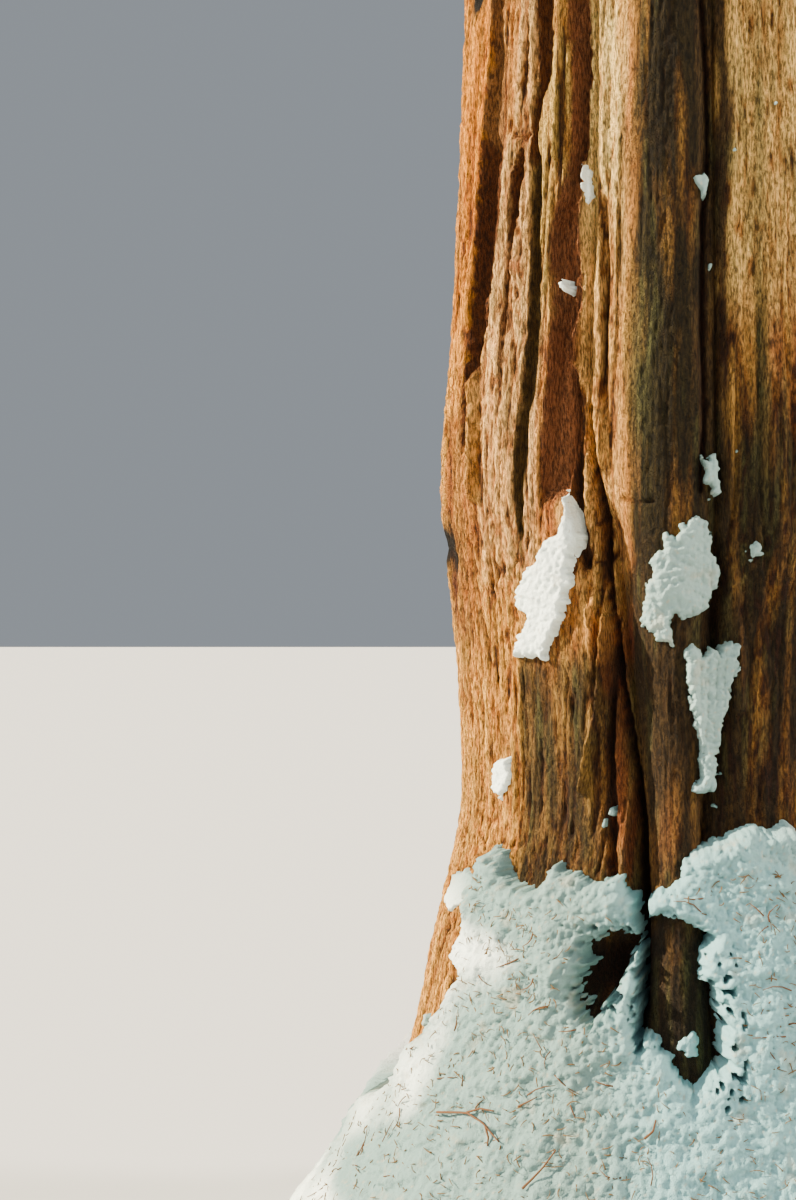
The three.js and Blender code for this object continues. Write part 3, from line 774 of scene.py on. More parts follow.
@dataclass(frozen=True)
class Trunk:
    """The trunk: a fluted, tapering column with fibrous bark."""

    height: float = 40.0
    top: float = 38.3
    lean: float = 0.26
    lean_bend: float = 1.5
    taper: Table = (
        (0, 1.69), (0.35, 1.42), (0.6, 1.24), (1, 1.06), (1.4, 0.965), (1.9, 0.85), (2.2, 0.845),
        (2.6, 0.87), (3.15, 0.93), (4, 0.88), (5.1, 0.835), (8, 0.765), (14, 0.685), (20, 0.59), (26, 0.465),
        (32, 0.3), (36, 0.155), (38.3, 0.03),
    )
    furrow_share: Table = (
        (0, 1.7), (0.9, 1.25), (2, 1), (5, 0.95), (9, 0.6), (18, 0.3), (30, 0.1), (40, 0),
    )
    furrows: tuple[Furrow, ...] = (
        Furrow((
            (0, -20), (0.9, -17), (1.3, -16), (1.7, -15.5), (2.15, -18), (2.65, -22), (3, -25), (3.35, -30),
            (40, -30),
        ), 0.17, 0.94),
        Furrow(((0, 6), (1.1, 0), (1.7, -2), (2.5, 1), (40, 1)), 0.135, 1.02),
        Furrow(37, 0.08, 0.95), Furrow(70, 0.1, 1.07), Furrow(104, 0.075, 0.98), Furrow(139, 0.12, 1.08),
        Furrow(174, 0.08, 0.94), Furrow(209, 0.11, 1.05), Furrow(243, 0.07, 0.97), Furrow(267, 0.04, 1),
        Furrow(290, 0.012, 1), Furrow(309, 0.02, 1),
    )
    arch_power: float = 0.55
    flare_top: float = 1.9
    folds: tuple[Fold, ...] = (
        # The left columns: cracks and thin ridges, from the outermost inwards
        Fold(0.011, -0.022, ((-84, 5.5), (-84.5, 4.6), (-83.5, 4), (-85, 3.4), (-83, 2.8))),
        Fold(0.01, -0.035, ((-74.8, 4.4), (-74.6, 4.12), (-77.7, 3.85), (-79.5, 3.6), (-81, 3.3))),
        Fold(0.009, -0.03, ((-71.5, 5.5), (-71, 4.95), (-72.4, 4.5))),
        Fold(0.01, -0.03, ((-80, 5.5), (-79.4, 4.9), (-80, 4.3), (-79, 3.9), (-80.5, 3.5), (-79, 3.1))),
        Fold(0.007, -0.02, ((-57.5, 3.2), (-57, 2.8), (-58.4, 2.4), (-58, 2))),
        Fold(0.007, -0.022, ((-65.5, 3.1), (-65, 2.7), (-66.2, 2.3), (-67, 1.9), (-71, 1.5))),
        Fold(0.007, -0.022, ((-74.5, 2.7), (-73.6, 2.3), (-75, 1.9), (-77, 1.6))),
        Fold(0.012, 0.05, ((-64.2, 3.86), (-62.6, 3.65), (-61, 3.4), (-60.4, 3.1))),
        Fold(0.014, 0.022, ((-47, 5.5), (-47.3, 4.6), (-46.6, 4.3), (-47.5, 4))),
        Fold(0.012, 0.03, ((-37.6, 5.4), (-38, 4.6), (-38.5, 4.3))),
        Fold(0.007, -0.015, ((-62, 2.7), (-60.5, 2.3), (-61.5, 1.95), (-66, 1.6), (-70, 1.3))),
        Fold(0.007, -0.015, ((-70, 2.9), (-68.5, 2.4), (-70.5, 1.9), (-75, 1.4), (-78, 1.1))),
        Fold(0.006, -0.014, ((-55.5, 3.1), (-54.8, 2.6), (-55.5, 2.2))),
        # The main furrow: its lip, the top of the crevice, two flaps, then the crevice below and its edges
        Fold(0.04, 0.055, ((-29, 5.7), (-28.9, 4.8), (-28.8, 4.3), (-29, 3.9), (-29.2, 3.5), (-26, 3.05))),
        Fold(0.018, -0.06, ((-33.4, 3.5), (-32.6, 3.3), (-31.4, 3.1), (-30, 2.85))),
        Fold(0.011, 0.055, ((-32.6, 4.27), (-32.8, 4.1), (-33.4, 3.95))),
        Fold(0.012, 0.05, ((-34, 3.92), (-33.9, 3.8), (-33.2, 3.68), (-32.6, 3.55))),
        Fold(0.05, 0.035, ((-27, 2.7), (-24.5, 2.45), (-22, 2.15), (-20.6, 1.9), (-20, 1.6))),
        Fold(0.012, -0.09, (
            (-29.8, 3.4), (-28.4, 3.24), (-26.7, 3.05), (-25.6, 2.86), (-24.5, 2.68), (-22.6, 2.43),
            (-20.9, 2.29), (-18.9, 2.1), (-17.4, 1.95), (-16.3, 1.7), (-16, 1.3),
        )),
        Fold(0.014, 0.055, ((-25, 2.66), (-26.3, 2.48), (-27.5, 2.36), (-29.3, 2.21), (-31.2, 2.05))),
        Fold(0.013, -0.04, ((-24.4, 2.55), (-24.6, 2.35), (-24.4, 2.1), (-23.5, 1.85), (-22.8, 1.7))),
        Fold(0.009, 0.035, ((-19.3, 2.14), (-20.2, 1.98), (-20.8, 1.8))),
        Fold(0.016, 0.03, ((-24.5, 2.85), (-22.5, 2.6), (-20.6, 2.4), (-18.4, 2.2), (-16.4, 2), (-15, 1.8))),
        # The right furrow: the dark line in it, and the lip of the column to its right
        Fold(0.013, -0.045, (
            (-2, 5.5), (-2.5, 4.81), (-1.4, 4.55), (-0.9, 4.29), (-2.8, 4.03), (-2.8, 3.75), (-2.5, 3.34),
            (-3.2, 3.1),
        )),
        Fold(0.026, 0.034, (
            (4.8, 5.5), (4.8, 4.83), (4.3, 4.3), (3.8, 4.12), (4.6, 3.88), (4, 3.69), (3.5, 3.41),
            (3.2, 3.11), (2.6, 2.98), (4.4, 2.8), (5.6, 2.6), (6.6, 2.35),
        )),
        # Cracks across the grain
        Fold(0.008, -0.016, ((-20.7, 3.07), (-16.9, 3.05), (-13.7, 3.055))),
        Fold(0.01, -0.006, ((-50, 2.13), (-46, 2.15), (-41, 2.12), (-38, 2.16), (-33, 2.12))),
        Fold(0.008, -0.014, ((-52, 4.42), (-49.5, 4.4), (-46.5, 4.41))),
    )
    # From the outermost inwards: two on the left flank, three beside them, and the furrow's left wall; each
    # with its painted shade
    grooves: tuple[Groove, ...] = (
        Groove(0.085, (
            (3.38, -69.5, -64), (3.55, -71.6, -61.5), (3.8, -71.6, -58.2), (4.08, -70.2, -57),
            (4.34, -68.4, -56.4), (4.4, -68.3, -56.4),
        ), (0.13, 0.04, 0.009)),
        Groove(0.06, (
            (4.52, -67.5, -56), (4.75, -64, -56.8), (5, -64.5, -57.7), (5.6, -64.5, -58),
        ), (0.3, 0.13, 0.035)),
        Groove(0.06, (
            (3.5, -54.2, -53), (3.78, -54.3, -52.8), (4, -53.2, -51.5), (4.15, -53.8, -50.5),
            (4.28, -53.2, -49.4), (4.38, -50.6, -49.5),
        ), (0.14, 0.045, 0.01)),
        Groove(0.06, (
            (4.36, -46.5, -44.5), (4.5, -46.3, -43.5), (4.6, -45.3, -39.8), (4.85, -46, -39.8),
            (5.6, -46.5, -40),
        ), (0.16, 0.055, 0.012)),
        Groove(0.05, (
            (2.9, -47.6, -46.9), (3.1, -49.2, -45.2), (3.3, -49, -44), (3.5, -47.3, -41.4),
            (3.75, -46.3, -41.2), (4.02, -46.3, -42.5), (4.25, -45.7, -43),
        ), (0.1, 0.055, 0.012)),
        Groove(0.075, (
            (3.15, -40.3, -33), (3.45, -39.3, -32.5), (3.75, -38.3, -32.5), (3.95, -39.7, -32.5),
            (4.05, -39.2, -32.4), (4.2, -36.4, -32), (4.35, -35, -31.7), (4.65, -35, -31.7),
            (4.75, -36.2, -31.7), (5.6, -36.7, -32),
        ), (0.28, 0.1, 0.035)),
    )
    stains: tuple[Stain, ...] = (
        Stain(-85, 2.95, 0.16, 0.075, CHAR, 1.8, -0.02),
        Stain(-77.5, 2.88, 0.045, 0.06, CHAR, 1.5, -0.02),
        Stain(-81, 2.75, 0.05, 0.11, (0.1, 0.03, 0.012), 1.3, -0.015),
        Stain(-75, 5.03, 0.06, 0.06, CHAR, 1.5, -0.02),
        Stain(-48, 4.4, 0.02, 0.02, RUST_RED, 0.8, -0.01),
        Stain(-51, 3.94, 0.03, 0.03, RUST_RED, 0.7, 0.012),
        Stain(10.8, 4.4, 0.02, 0.5, LICHEN, 0.6),
        Stain(10.2, 3.6, 0.022, 0.45, LICHEN, 0.7),
        Stain(-22, 4.2, 0.03, 0.5, LICHEN, 0.5),
        Stain(-17, 3.5, 0.05, 0.35, LICHEN, 0.45),
        # The next two are painted shade: in the hollow at the foot, and in the pocket under the middle
        # column's snow.
        Stain(-22, 1.44, 0.09, 0.11, PIT_SHADE, 1.2, -0.16),
        Stain(1.2, 2.65, 0.035, 0.05, PIT_SHADE, 0.8, -0.03),
    )
    front: tuple[float, float] = (-96.0, 30.0)  # the angles that the photographed side takes up
    front_step: float = 0.44
    back_step: float = 1.7
    buried: float = 0.8  # below this height the snow hides the bark
    buried_rows: int = 21
    fine_step: float = 0.0091
    fine_drums: tuple[tuple[str, float, float], ...] = (  # name, bottom and top
        ("trunk_foot", 0, 1.95), ("trunk_waist", 1.95, 3.1), ("trunk_swell", 3.1, 4.25),
        ("trunk_shaft", 4.25, 5.4),
    )
    plain_drums: tuple[tuple[str, float, float, int, float, float], ...] = (  # and rows, turn and grain
        ("trunk_middle", 5.4, 15, 260, 2.0, MIDDLING), ("trunk_upper", 15, 38.3, 240, 3.0, COARSE),
    )
    fade: float = 2.5  # the length below the tip over which the relief dies out
    tucks: tuple[float, ...] = (0.00015, 0.001, 0.004)  # how deep the rows past a joint lie
    noise: Noise = field(default_factory=partial(Noise, 5))
    material: bpy.types.Material = field(default_factory=BARK_FINISH.make)

    def axis(self, z: Array) -> Array:
        """Give how far the axis stands to the +X side: the lean times (height share) to the bend."""
        return self.lean * (np.maximum(z, 0) / self.height) ** self.lean_bend

    def point(self, angle: Array, radius: Array, z: Array) -> Array:
        """Give points at an angle, a radius out from the axis, and a height."""
        turn = np.radians(angle)
        return np.stack([self.axis(z) + radius * np.sin(turn), -radius * np.cos(turn), z], axis=-1)

    def crest_radius(self, z: Array) -> Array:
        """Give the smooth radius over the columns' crests."""
        return along(self.taper, z)

    def radius(self, angle: Array, z: Array, furrowed: Array | float = 1.0) -> Array:
        """Give the fluted radius, by the rule of the solids.

        A column's crest follows the taper with its own flare at the foot. Between two furrows the surface is
        an arch: the sine of half a turn across the column, to a power under 1, times the furrows' depth.

        Args:
            angle: Angles round the trunk.
            z: Heights, in the same shape.
            furrowed: Scales the furrows: 1 is the bark, and 0 the smooth line over the crests.

        Returns:
            The radii, in the same shape.
        """
        count = len(self.furrows)
        turns = np.stack([furrow.angle(i, z) for i, furrow in enumerate(self.furrows)])
        edges = np.concatenate([turns - turns[0], np.full((1, *z.shape), 360.0)])
        offset = (angle - turns[0]) % 360
        index = np.clip((offset[None] >= edges[:-1]).sum(axis=0) - 1, 0, count - 1)
        start = np.take_along_axis(edges, index[None], axis=0)[0]
        end = np.take_along_axis(edges, index[None] + 1, axis=0)[0]
        share = (offset - start) / (end - start)
        depths = np.array([furrow.depth for furrow in self.furrows])
        gains = np.array([furrow.gain for furrow in self.furrows]) - 1
        low = np.maximum(0, 1 - z / self.flare_top)
        beside = np.where(share < 0.5, (index - 1) % count, (index + 1) % count)
        own_gain = 1 + gains[index] * low
        beside_gain = 1 + gains[beside] * low
        gain = mix((own_gain + beside_gain) / 2, own_gain, 1 - np.abs(2 * share - 1))
        crest = gain * self.crest_radius(z)
        depth = mix(depths[index], depths[(index + 1) % count], share) * along(self.furrow_share, z)
        arch = np.sin(np.pi * np.clip(share, 0, 1)) ** self.arch_power
        return crest - furrowed * depth * (1 - arch)

    def soft_radius(self, angle: Array, z: Array, furrowed: Array | float) -> Array:
        """Give the fluted radius with its creases rounded: the mean of five places side by side."""
        return sum(self.radius(angle + turn, z, furrowed) for turn in (-4, -2, 0, 2, 4)) / 5

    def flow(self, angle: Array, z: Array) -> Array:
        """Give the places where the bark's noise is read: on a cylinder no wider than the waist."""
        radius = np.minimum(self.crest_radius(z), WAIST_RADIUS)
        turn = np.radians(angle)
        return np.stack([radius * np.sin(turn), -radius * np.cos(turn), z], axis=-1)

    def relief(self, angle: Array, z: Array, grain: float) -> tuple[Array, Array]:
        """Work out the bark's relief.

        Fissures, clefts, seams and fibres run where stretched noise is near 0. Crumbs and chips roughen what
        is between them. The folds, the stains and the grooves are added, with slightly ragged edges.

        Args:
            angle: Angles round the trunk.
            z: Heights.
            grain: The smallest thing that the grid can show; what is finer is left out.

        Returns:
            How far the bark stands out, and how deep in a hollow it is, from 0 to 1: its painted shade, in
            fissures, clefts, seams, creases and between fibres, less on crumbs, chips and ridges and on the
            sunlit column, with dark specks too.
        """
        around = (angle + 180) % 360 - 180
        places = self.flow(angle, z)
        read = partial(self.noise.read, places)
        places[:, :2] += 0.012 * np.stack([read(bend) for bend in BENDS], axis=-1)
        strength = 1 - np.maximum.reduce([calm * area(around, z, *where) for calm, *where in CALM])
        fissure = FISSURES.share(read) * strength * ease(-0.5, 0.3, read(CRACKED))
        fissure *= 1 - area(around, z, *UNCRACKED)
        rise = 0.012 * read(SWELLS) - FISSURES.depth * fissure
        hollow = FISSURES.dark * fissure
        ragged = np.zeros(around.shape)
        if grain <= MIDDLING:
            cleft = CLEFTS.share(read) * (0.15 + 0.85 * strength)
            seam = SEAMS.share(read) * (window(around, *SEAMED) + 0.35 * window(around, *HALF_SEAMED))
            rise -= CLEFTS.depth * cleft + SEAMS.depth * seam
            hollow += CLEFTS.dark * cleft + SEAMS.dark * seam
        if grain <= FINE:
            rough = 0.4 + 0.6 * strength
            fibre, crumb, chips = np.abs(read(FIBRES)), read(CRUMBS), read(CHIPS)
            rise += rough * (0.011 * (fibre - 0.35) + 0.0055 * (crumb + chips))
            hollow += rough * (0.75 * (1 - ease(0, 0.2, fibre)) - 0.3 * crumb - 0.2 * chips)
            specks = 0.4 + 1.5 * window(around, *SPECKED)
            hollow += 0.45 * specks * ease(0.3, 0.6, read(SPECKS))
            ragged = 0.005 * read(FRAYS) + 0.005 * crumb + 0.003 * chips
        across = np.radians(around) * WAIST_RADIUS + ragged
        lifts = sum(fold.lift(across, z) for fold in self.folds)
        rise += lifts + sum(stain.rise * stain.share(across, z) for stain in self.stains)
        edges = np.degrees(across / WAIST_RADIUS)
        rise -= sum(groove.depth * groove.share(edges, z) for groove in self.grooves)
        hollow += np.clip(-lifts / 0.045, -0.4, 1.2)
        hollow *= 1 - 0.3 * area(around, z, *SUNLIT)
        return rise, np.clip(hollow, 0, 1)

    def tint(self, angle: Array, z: Array, hollow: Array) -> Array:
        """Work out the bark's colour.

        Rust and pale crests are mixed by stretched noise. The zones come over them, with edges that sway:
        mostly painted sunlight and shade. Then come lichen, kept off the sunlit flank, a fine mottle and the
        grooves' painted shade. Shallow hollows get painted shade, deep ones nearly black, and the stains come
        last, two of them painted shade.

        Args:
            angle: Angles round the trunk.
            z: Heights.
            hollow: How deep in a hollow each point is, which sets its painted shade.

        Returns:
            A colour for each point.
        """
        around = (angle + 180) % 360 - 180
        read = partial(self.noise.read, self.flow(angle, z))
        streak, patch = read(STREAKS), read(BLOTCHES)
        colour = paint(RUST, CREST, np.clip(0.5 + 0.9 * streak + 0.4 * patch, 0, 1))
        ragged = np.clip(0.93 + 0.3 * read(TATTERS) - 0.25 * streak, 0, 1.15)
        sway = 1.5 * read(SWAYS) + 2.6 * streak
        shade, grooved = np.zeros(len(z)), np.zeros(len(z))
        for zone in ZONES:
            turned = (around if zone.angles[1] <= 180 else around % 360) + sway
            share = np.clip(zone.share(turned, z) * ragged, 0, 1)
            shade = np.maximum(shade, share)
            colour = paint(colour, zone.colour, share)
        # Lichen comes mostly within the zones, and none on the sunlit flank, so that its painted sunlight
        # stays light.
        clean = area(around, z, *SUNLIT_FLANK)
        grown = ease(0.1, 0.55, read(LICHENS) + 0.5 * patch)
        colour = paint(colour, LICHEN, 0.5 * grown * (0.05 + 0.95 * shade) * (1 - clean))
        colour = colour * (1 + 0.16 * read(MOTTLES))[:, None]
        # The grooves' painted shade, which stands in for the hollows' painted shade there.
        for groove in self.grooves:
            share = np.clip(2.2 * groove.share(around, z, 0.4), 0, 1)
            grooved = np.maximum(grooved, share)
            colour = paint(colour, groove.colour, share)
        hollow = hollow * (1 - 0.7 * grooved)
        # Painted shade in hollows: darker in shallow ones, nearly black in deep ones.
        colour = paint(colour, colour * np.array(CREVICE_SHADE), np.clip(1.6 * hollow, 0, 1))
        colour = paint(colour, PIT_SHADE, 0.92 * ease(0.45, 1.05, hollow))
        across = np.radians(around) * WAIST_RADIUS
        for stain in self.stains:
            colour = paint(colour, stain.colour, np.clip(stain.strength * stain.share(across, z), 0, 1))
        return np.clip(colour, 0, 1)

    def bark_radius(self, angle: Array, z: Array, grain: float = FINE) -> Array:
        """Give the radius of the bark with its relief, from arrays in any one shape."""
        rise, _ = self.relief(angle.ravel(), z.ravel(), grain)
        return self.radius(angle, z) + rise.reshape(angle.shape)

    def run_on(self, places: Array, before: bool, after: bool) -> tuple[Array, Array]:
        """Run evenly spaced places on past their ends, so that a joint is smooth on both sides.

        Args:
            places: The places.
            before: Whether to run on before the first.
            after: Whether to run on after the last.

        Returns:
            The longer row, and how far under the next piece each of its places is tucked.
        """
        tucks, steps = np.array(self.tucks), np.arange(1, len(self.tucks) + 1)
        tucked = np.zeros(len(places))
        if before:
            places = np.r_[(places[0] - steps * (places[1] - places[0]))[::-1], places]
            tucked = np.r_[tucks[::-1], tucked]
        if after:
            places = np.r_[places, places[-1] + steps * (places[-1] - places[-2])]
            tucked = np.r_[tucked, tucks]
        return places, tucked

    def drum(self, name: str, angles: Array, heights: Array, grain: float) -> None:
        """Make one closed drum of the trunk, with a flat cap at each end, run on under its neighbours.

        Args:
            name: The drum's name.
            angles: The columns of its grid.
            heights: The rows of its grid.
            grain: The smallest thing that the grid can show.
        """
        lowest = heights[0] == 0
        heights, tucked = self.run_on(heights, not lowest, heights[-1] < self.top)
        z, angle = np.meshgrid(heights, angles, indexing="ij")
        rows, columns = z.shape
        angle, z = angle.ravel(), z.ravel()
        rise, hollow = self.relief(angle, z, grain)
        fade = 1 - ease(self.top - self.fade, self.top, z)
        radius = self.radius(angle, z) + rise * fade - np.repeat(tucked, columns)
        surface = Surface()
        surface.add(self.point(angle, radius, z), [grid_faces(rows, columns, wrap=True)])
        ring = np.arange(columns)
        beside, top_ring = (ring + 1) % columns, (rows - 1) * columns
        for height, rim in ((heights[0], np.c_[beside, ring]), (heights[-1], np.c_[ring, beside] + top_ring)):
            apex = surface.add(self.point(0.0, 0.0, height))
            surface.add_faces(np.c_[rim, np.full(columns, apex)], flat=True)
        tint = np.vstack([self.tint(angle, z, hollow), np.full((2, 3), PIT_SHADE)])
        place_piece(name, surface, self.material, Slot.BARK, ("trunk",) if lowest else (), tint)

    def build(self) -> None:
        """Make the trunk: finely cut drums up to where the photograph ends, and coarser ones above."""
        low, high = self.front
        front = np.arange(low, high, self.front_step)
        back = np.linspace(high, low + 360, int((360 + low - high) / self.back_step), endpoint=False)
        for name, bottom, top in self.fine_drums:
            start = max(bottom, self.buried)
            heights = np.linspace(start, top, int((top - start) / self.fine_step) + 1)
            if bottom < start:
                under = np.linspace(bottom, start, self.buried_rows, endpoint=False)
                heights = np.concatenate([under, heights])
            self.drum(name, np.concatenate([front, back]), heights, FINE)
        for name, bottom, top, rows, turn, grain in self.plain_drums:
            self.drum(name, np.arange(0, 360, turn), np.linspace(bottom, top, rows), grain)


# The crown


DARK_BOUGH = (0.17, 0.075, 0.04)
PALE_BOUGH = (0.33, 0.17, 0.09)


@dataclass(frozen=True)
class Mass:
    """One mass of foliage: a rounded space, and where its stem comes in."""

    name: str
    angle: float
    size: Array  # half sizes outwards, across and up
    centre: Array
    tip: Array
    stem: float
    bough: Array | None = None  # the root, elbow and tip of the bough that carries it
    girth: float = 0.0

    def directions(self) -> Array:
        """Give its own directions as rows: outward, across, up."""
        turn = math.radians(self.angle)
        out = (math.sin(turn), -math.cos(turn), 0)
        return np.array([out, (math.cos(turn), math.sin(turn), 0), UP])

    def place(self, local: Array) -> Array:
        """Turn places in half sizes along its own directions into the frame's."""
        return self.centre + (local * self.size) @ self.directions()

    def local(self, points: Array) -> Array:
        """Turn the frame's places into half sizes along its own directions."""
        return (points - self.centre) @ self.directions().T / self.size


@dataclass(frozen=True)
class CrownPlan:
    """The rule that places the boughs and the masses, the same as in the solids."""

    trunk: Trunk
    reach: Table = (
        (14, 3.3), (18, 4.65), (23, 5), (28, 4.35), (32.5, 3.3), (36, 2.15), (40, 0.9),
    )
    count: int = 22
    lowest: float = 15.3
    highest: float = 35.3
    crowding: float = 0.94
    first_angle: float = 62.0
    sway: float = 7.0  # how far a bough may be turned from its place
    reach_spread: tuple[float, float] = (0.93, 1.05)
    half_sizes: tuple[float, float, float] = (0.42, 0.7, 0.56)  # of a mass, as shares of the reach
    lift: tuple[float, float] = (-0.08, 0.16)  # of a mass over its bough's root
    girth: float = 0.042  # as a share of the reach
    top_count: int = 3
    top_size: tuple[float, float, float] = (0.819, 1.209, 1.5)
    top_reach: float = 1.95
    top_height: float = 36.85
    top_step: float = 0.33
    tip_size: tuple[float, float, float] = (1.05, 1.05, 1.55)
    seed: int = 11

    def boughs(self) -> list[Mass]:
        """Place the boughs from the lowest up, turned by the golden angle.

        Returns:
            The masses that they carry, each with its bough.
        """
        random, trunk = stream(self.seed), self.trunk
        masses = []
        for i in range(self.count):
            share = i / (self.count - 1)
            height = mix(self.lowest, self.highest, share**self.crowding)
            angle = self.first_angle + i * GOLDEN_ANGLE + self.sway * (2 * next(random) - 1)
            reach = along(self.reach, height) * mix(*self.reach_spread, next(random))
            size = reach * np.array(self.half_sizes)
            place = partial(trunk.point, angle)
            centre = place(reach - size[0], height + reach * mix(*self.lift, share))
            thickness = trunk.crest_radius(height)
            tip_radius = reach - size[0] - 0.72 * size[0]
            tip = place(tip_radius, centre[2] - 0.12 * size[2])
            root = place(0.3 * thickness, height - 0.02 * reach)
            elbow = place((thickness + tip_radius) / 2, height - 0.05 * reach)
            girth = self.girth * reach
            bough = np.array([root, elbow, tip])
            masses.append(Mass(f"{i + 1:02d}", angle, size, centre, tip, 0.425 * girth, bough, girth))
        return masses

    def tops(self) -> list[Mass]:
        """Place the masses that stand on the trunk itself.

        Returns:
            Those round the leader, then the one at its tip.
        """
        masses, size = [], np.array(self.top_size)
        for i in range(self.top_count):
            angle, height = 20.0 + 360 / self.top_count * i, self.top_height + self.top_step * (i - 1)
            centre = self.trunk.point(angle, self.top_reach - size[0], height)
            tip = self.trunk.point(angle, 0.0, height - 0.4 * size[2])
            masses.append(Mass(f"top_{i + 1}", angle, size, centre, tip, 0.06 * size[0]))
        size = np.array(self.tip_size)
        centre = self.trunk.point(0.0, 0.0, self.trunk.height - size[2])
        tip = self.trunk.point(0.0, 0.0, self.trunk.top - 0.03)
        masses.append(Mass("tip", 0.0, size, centre, tip, 0.06 * size[0]))
        return masses


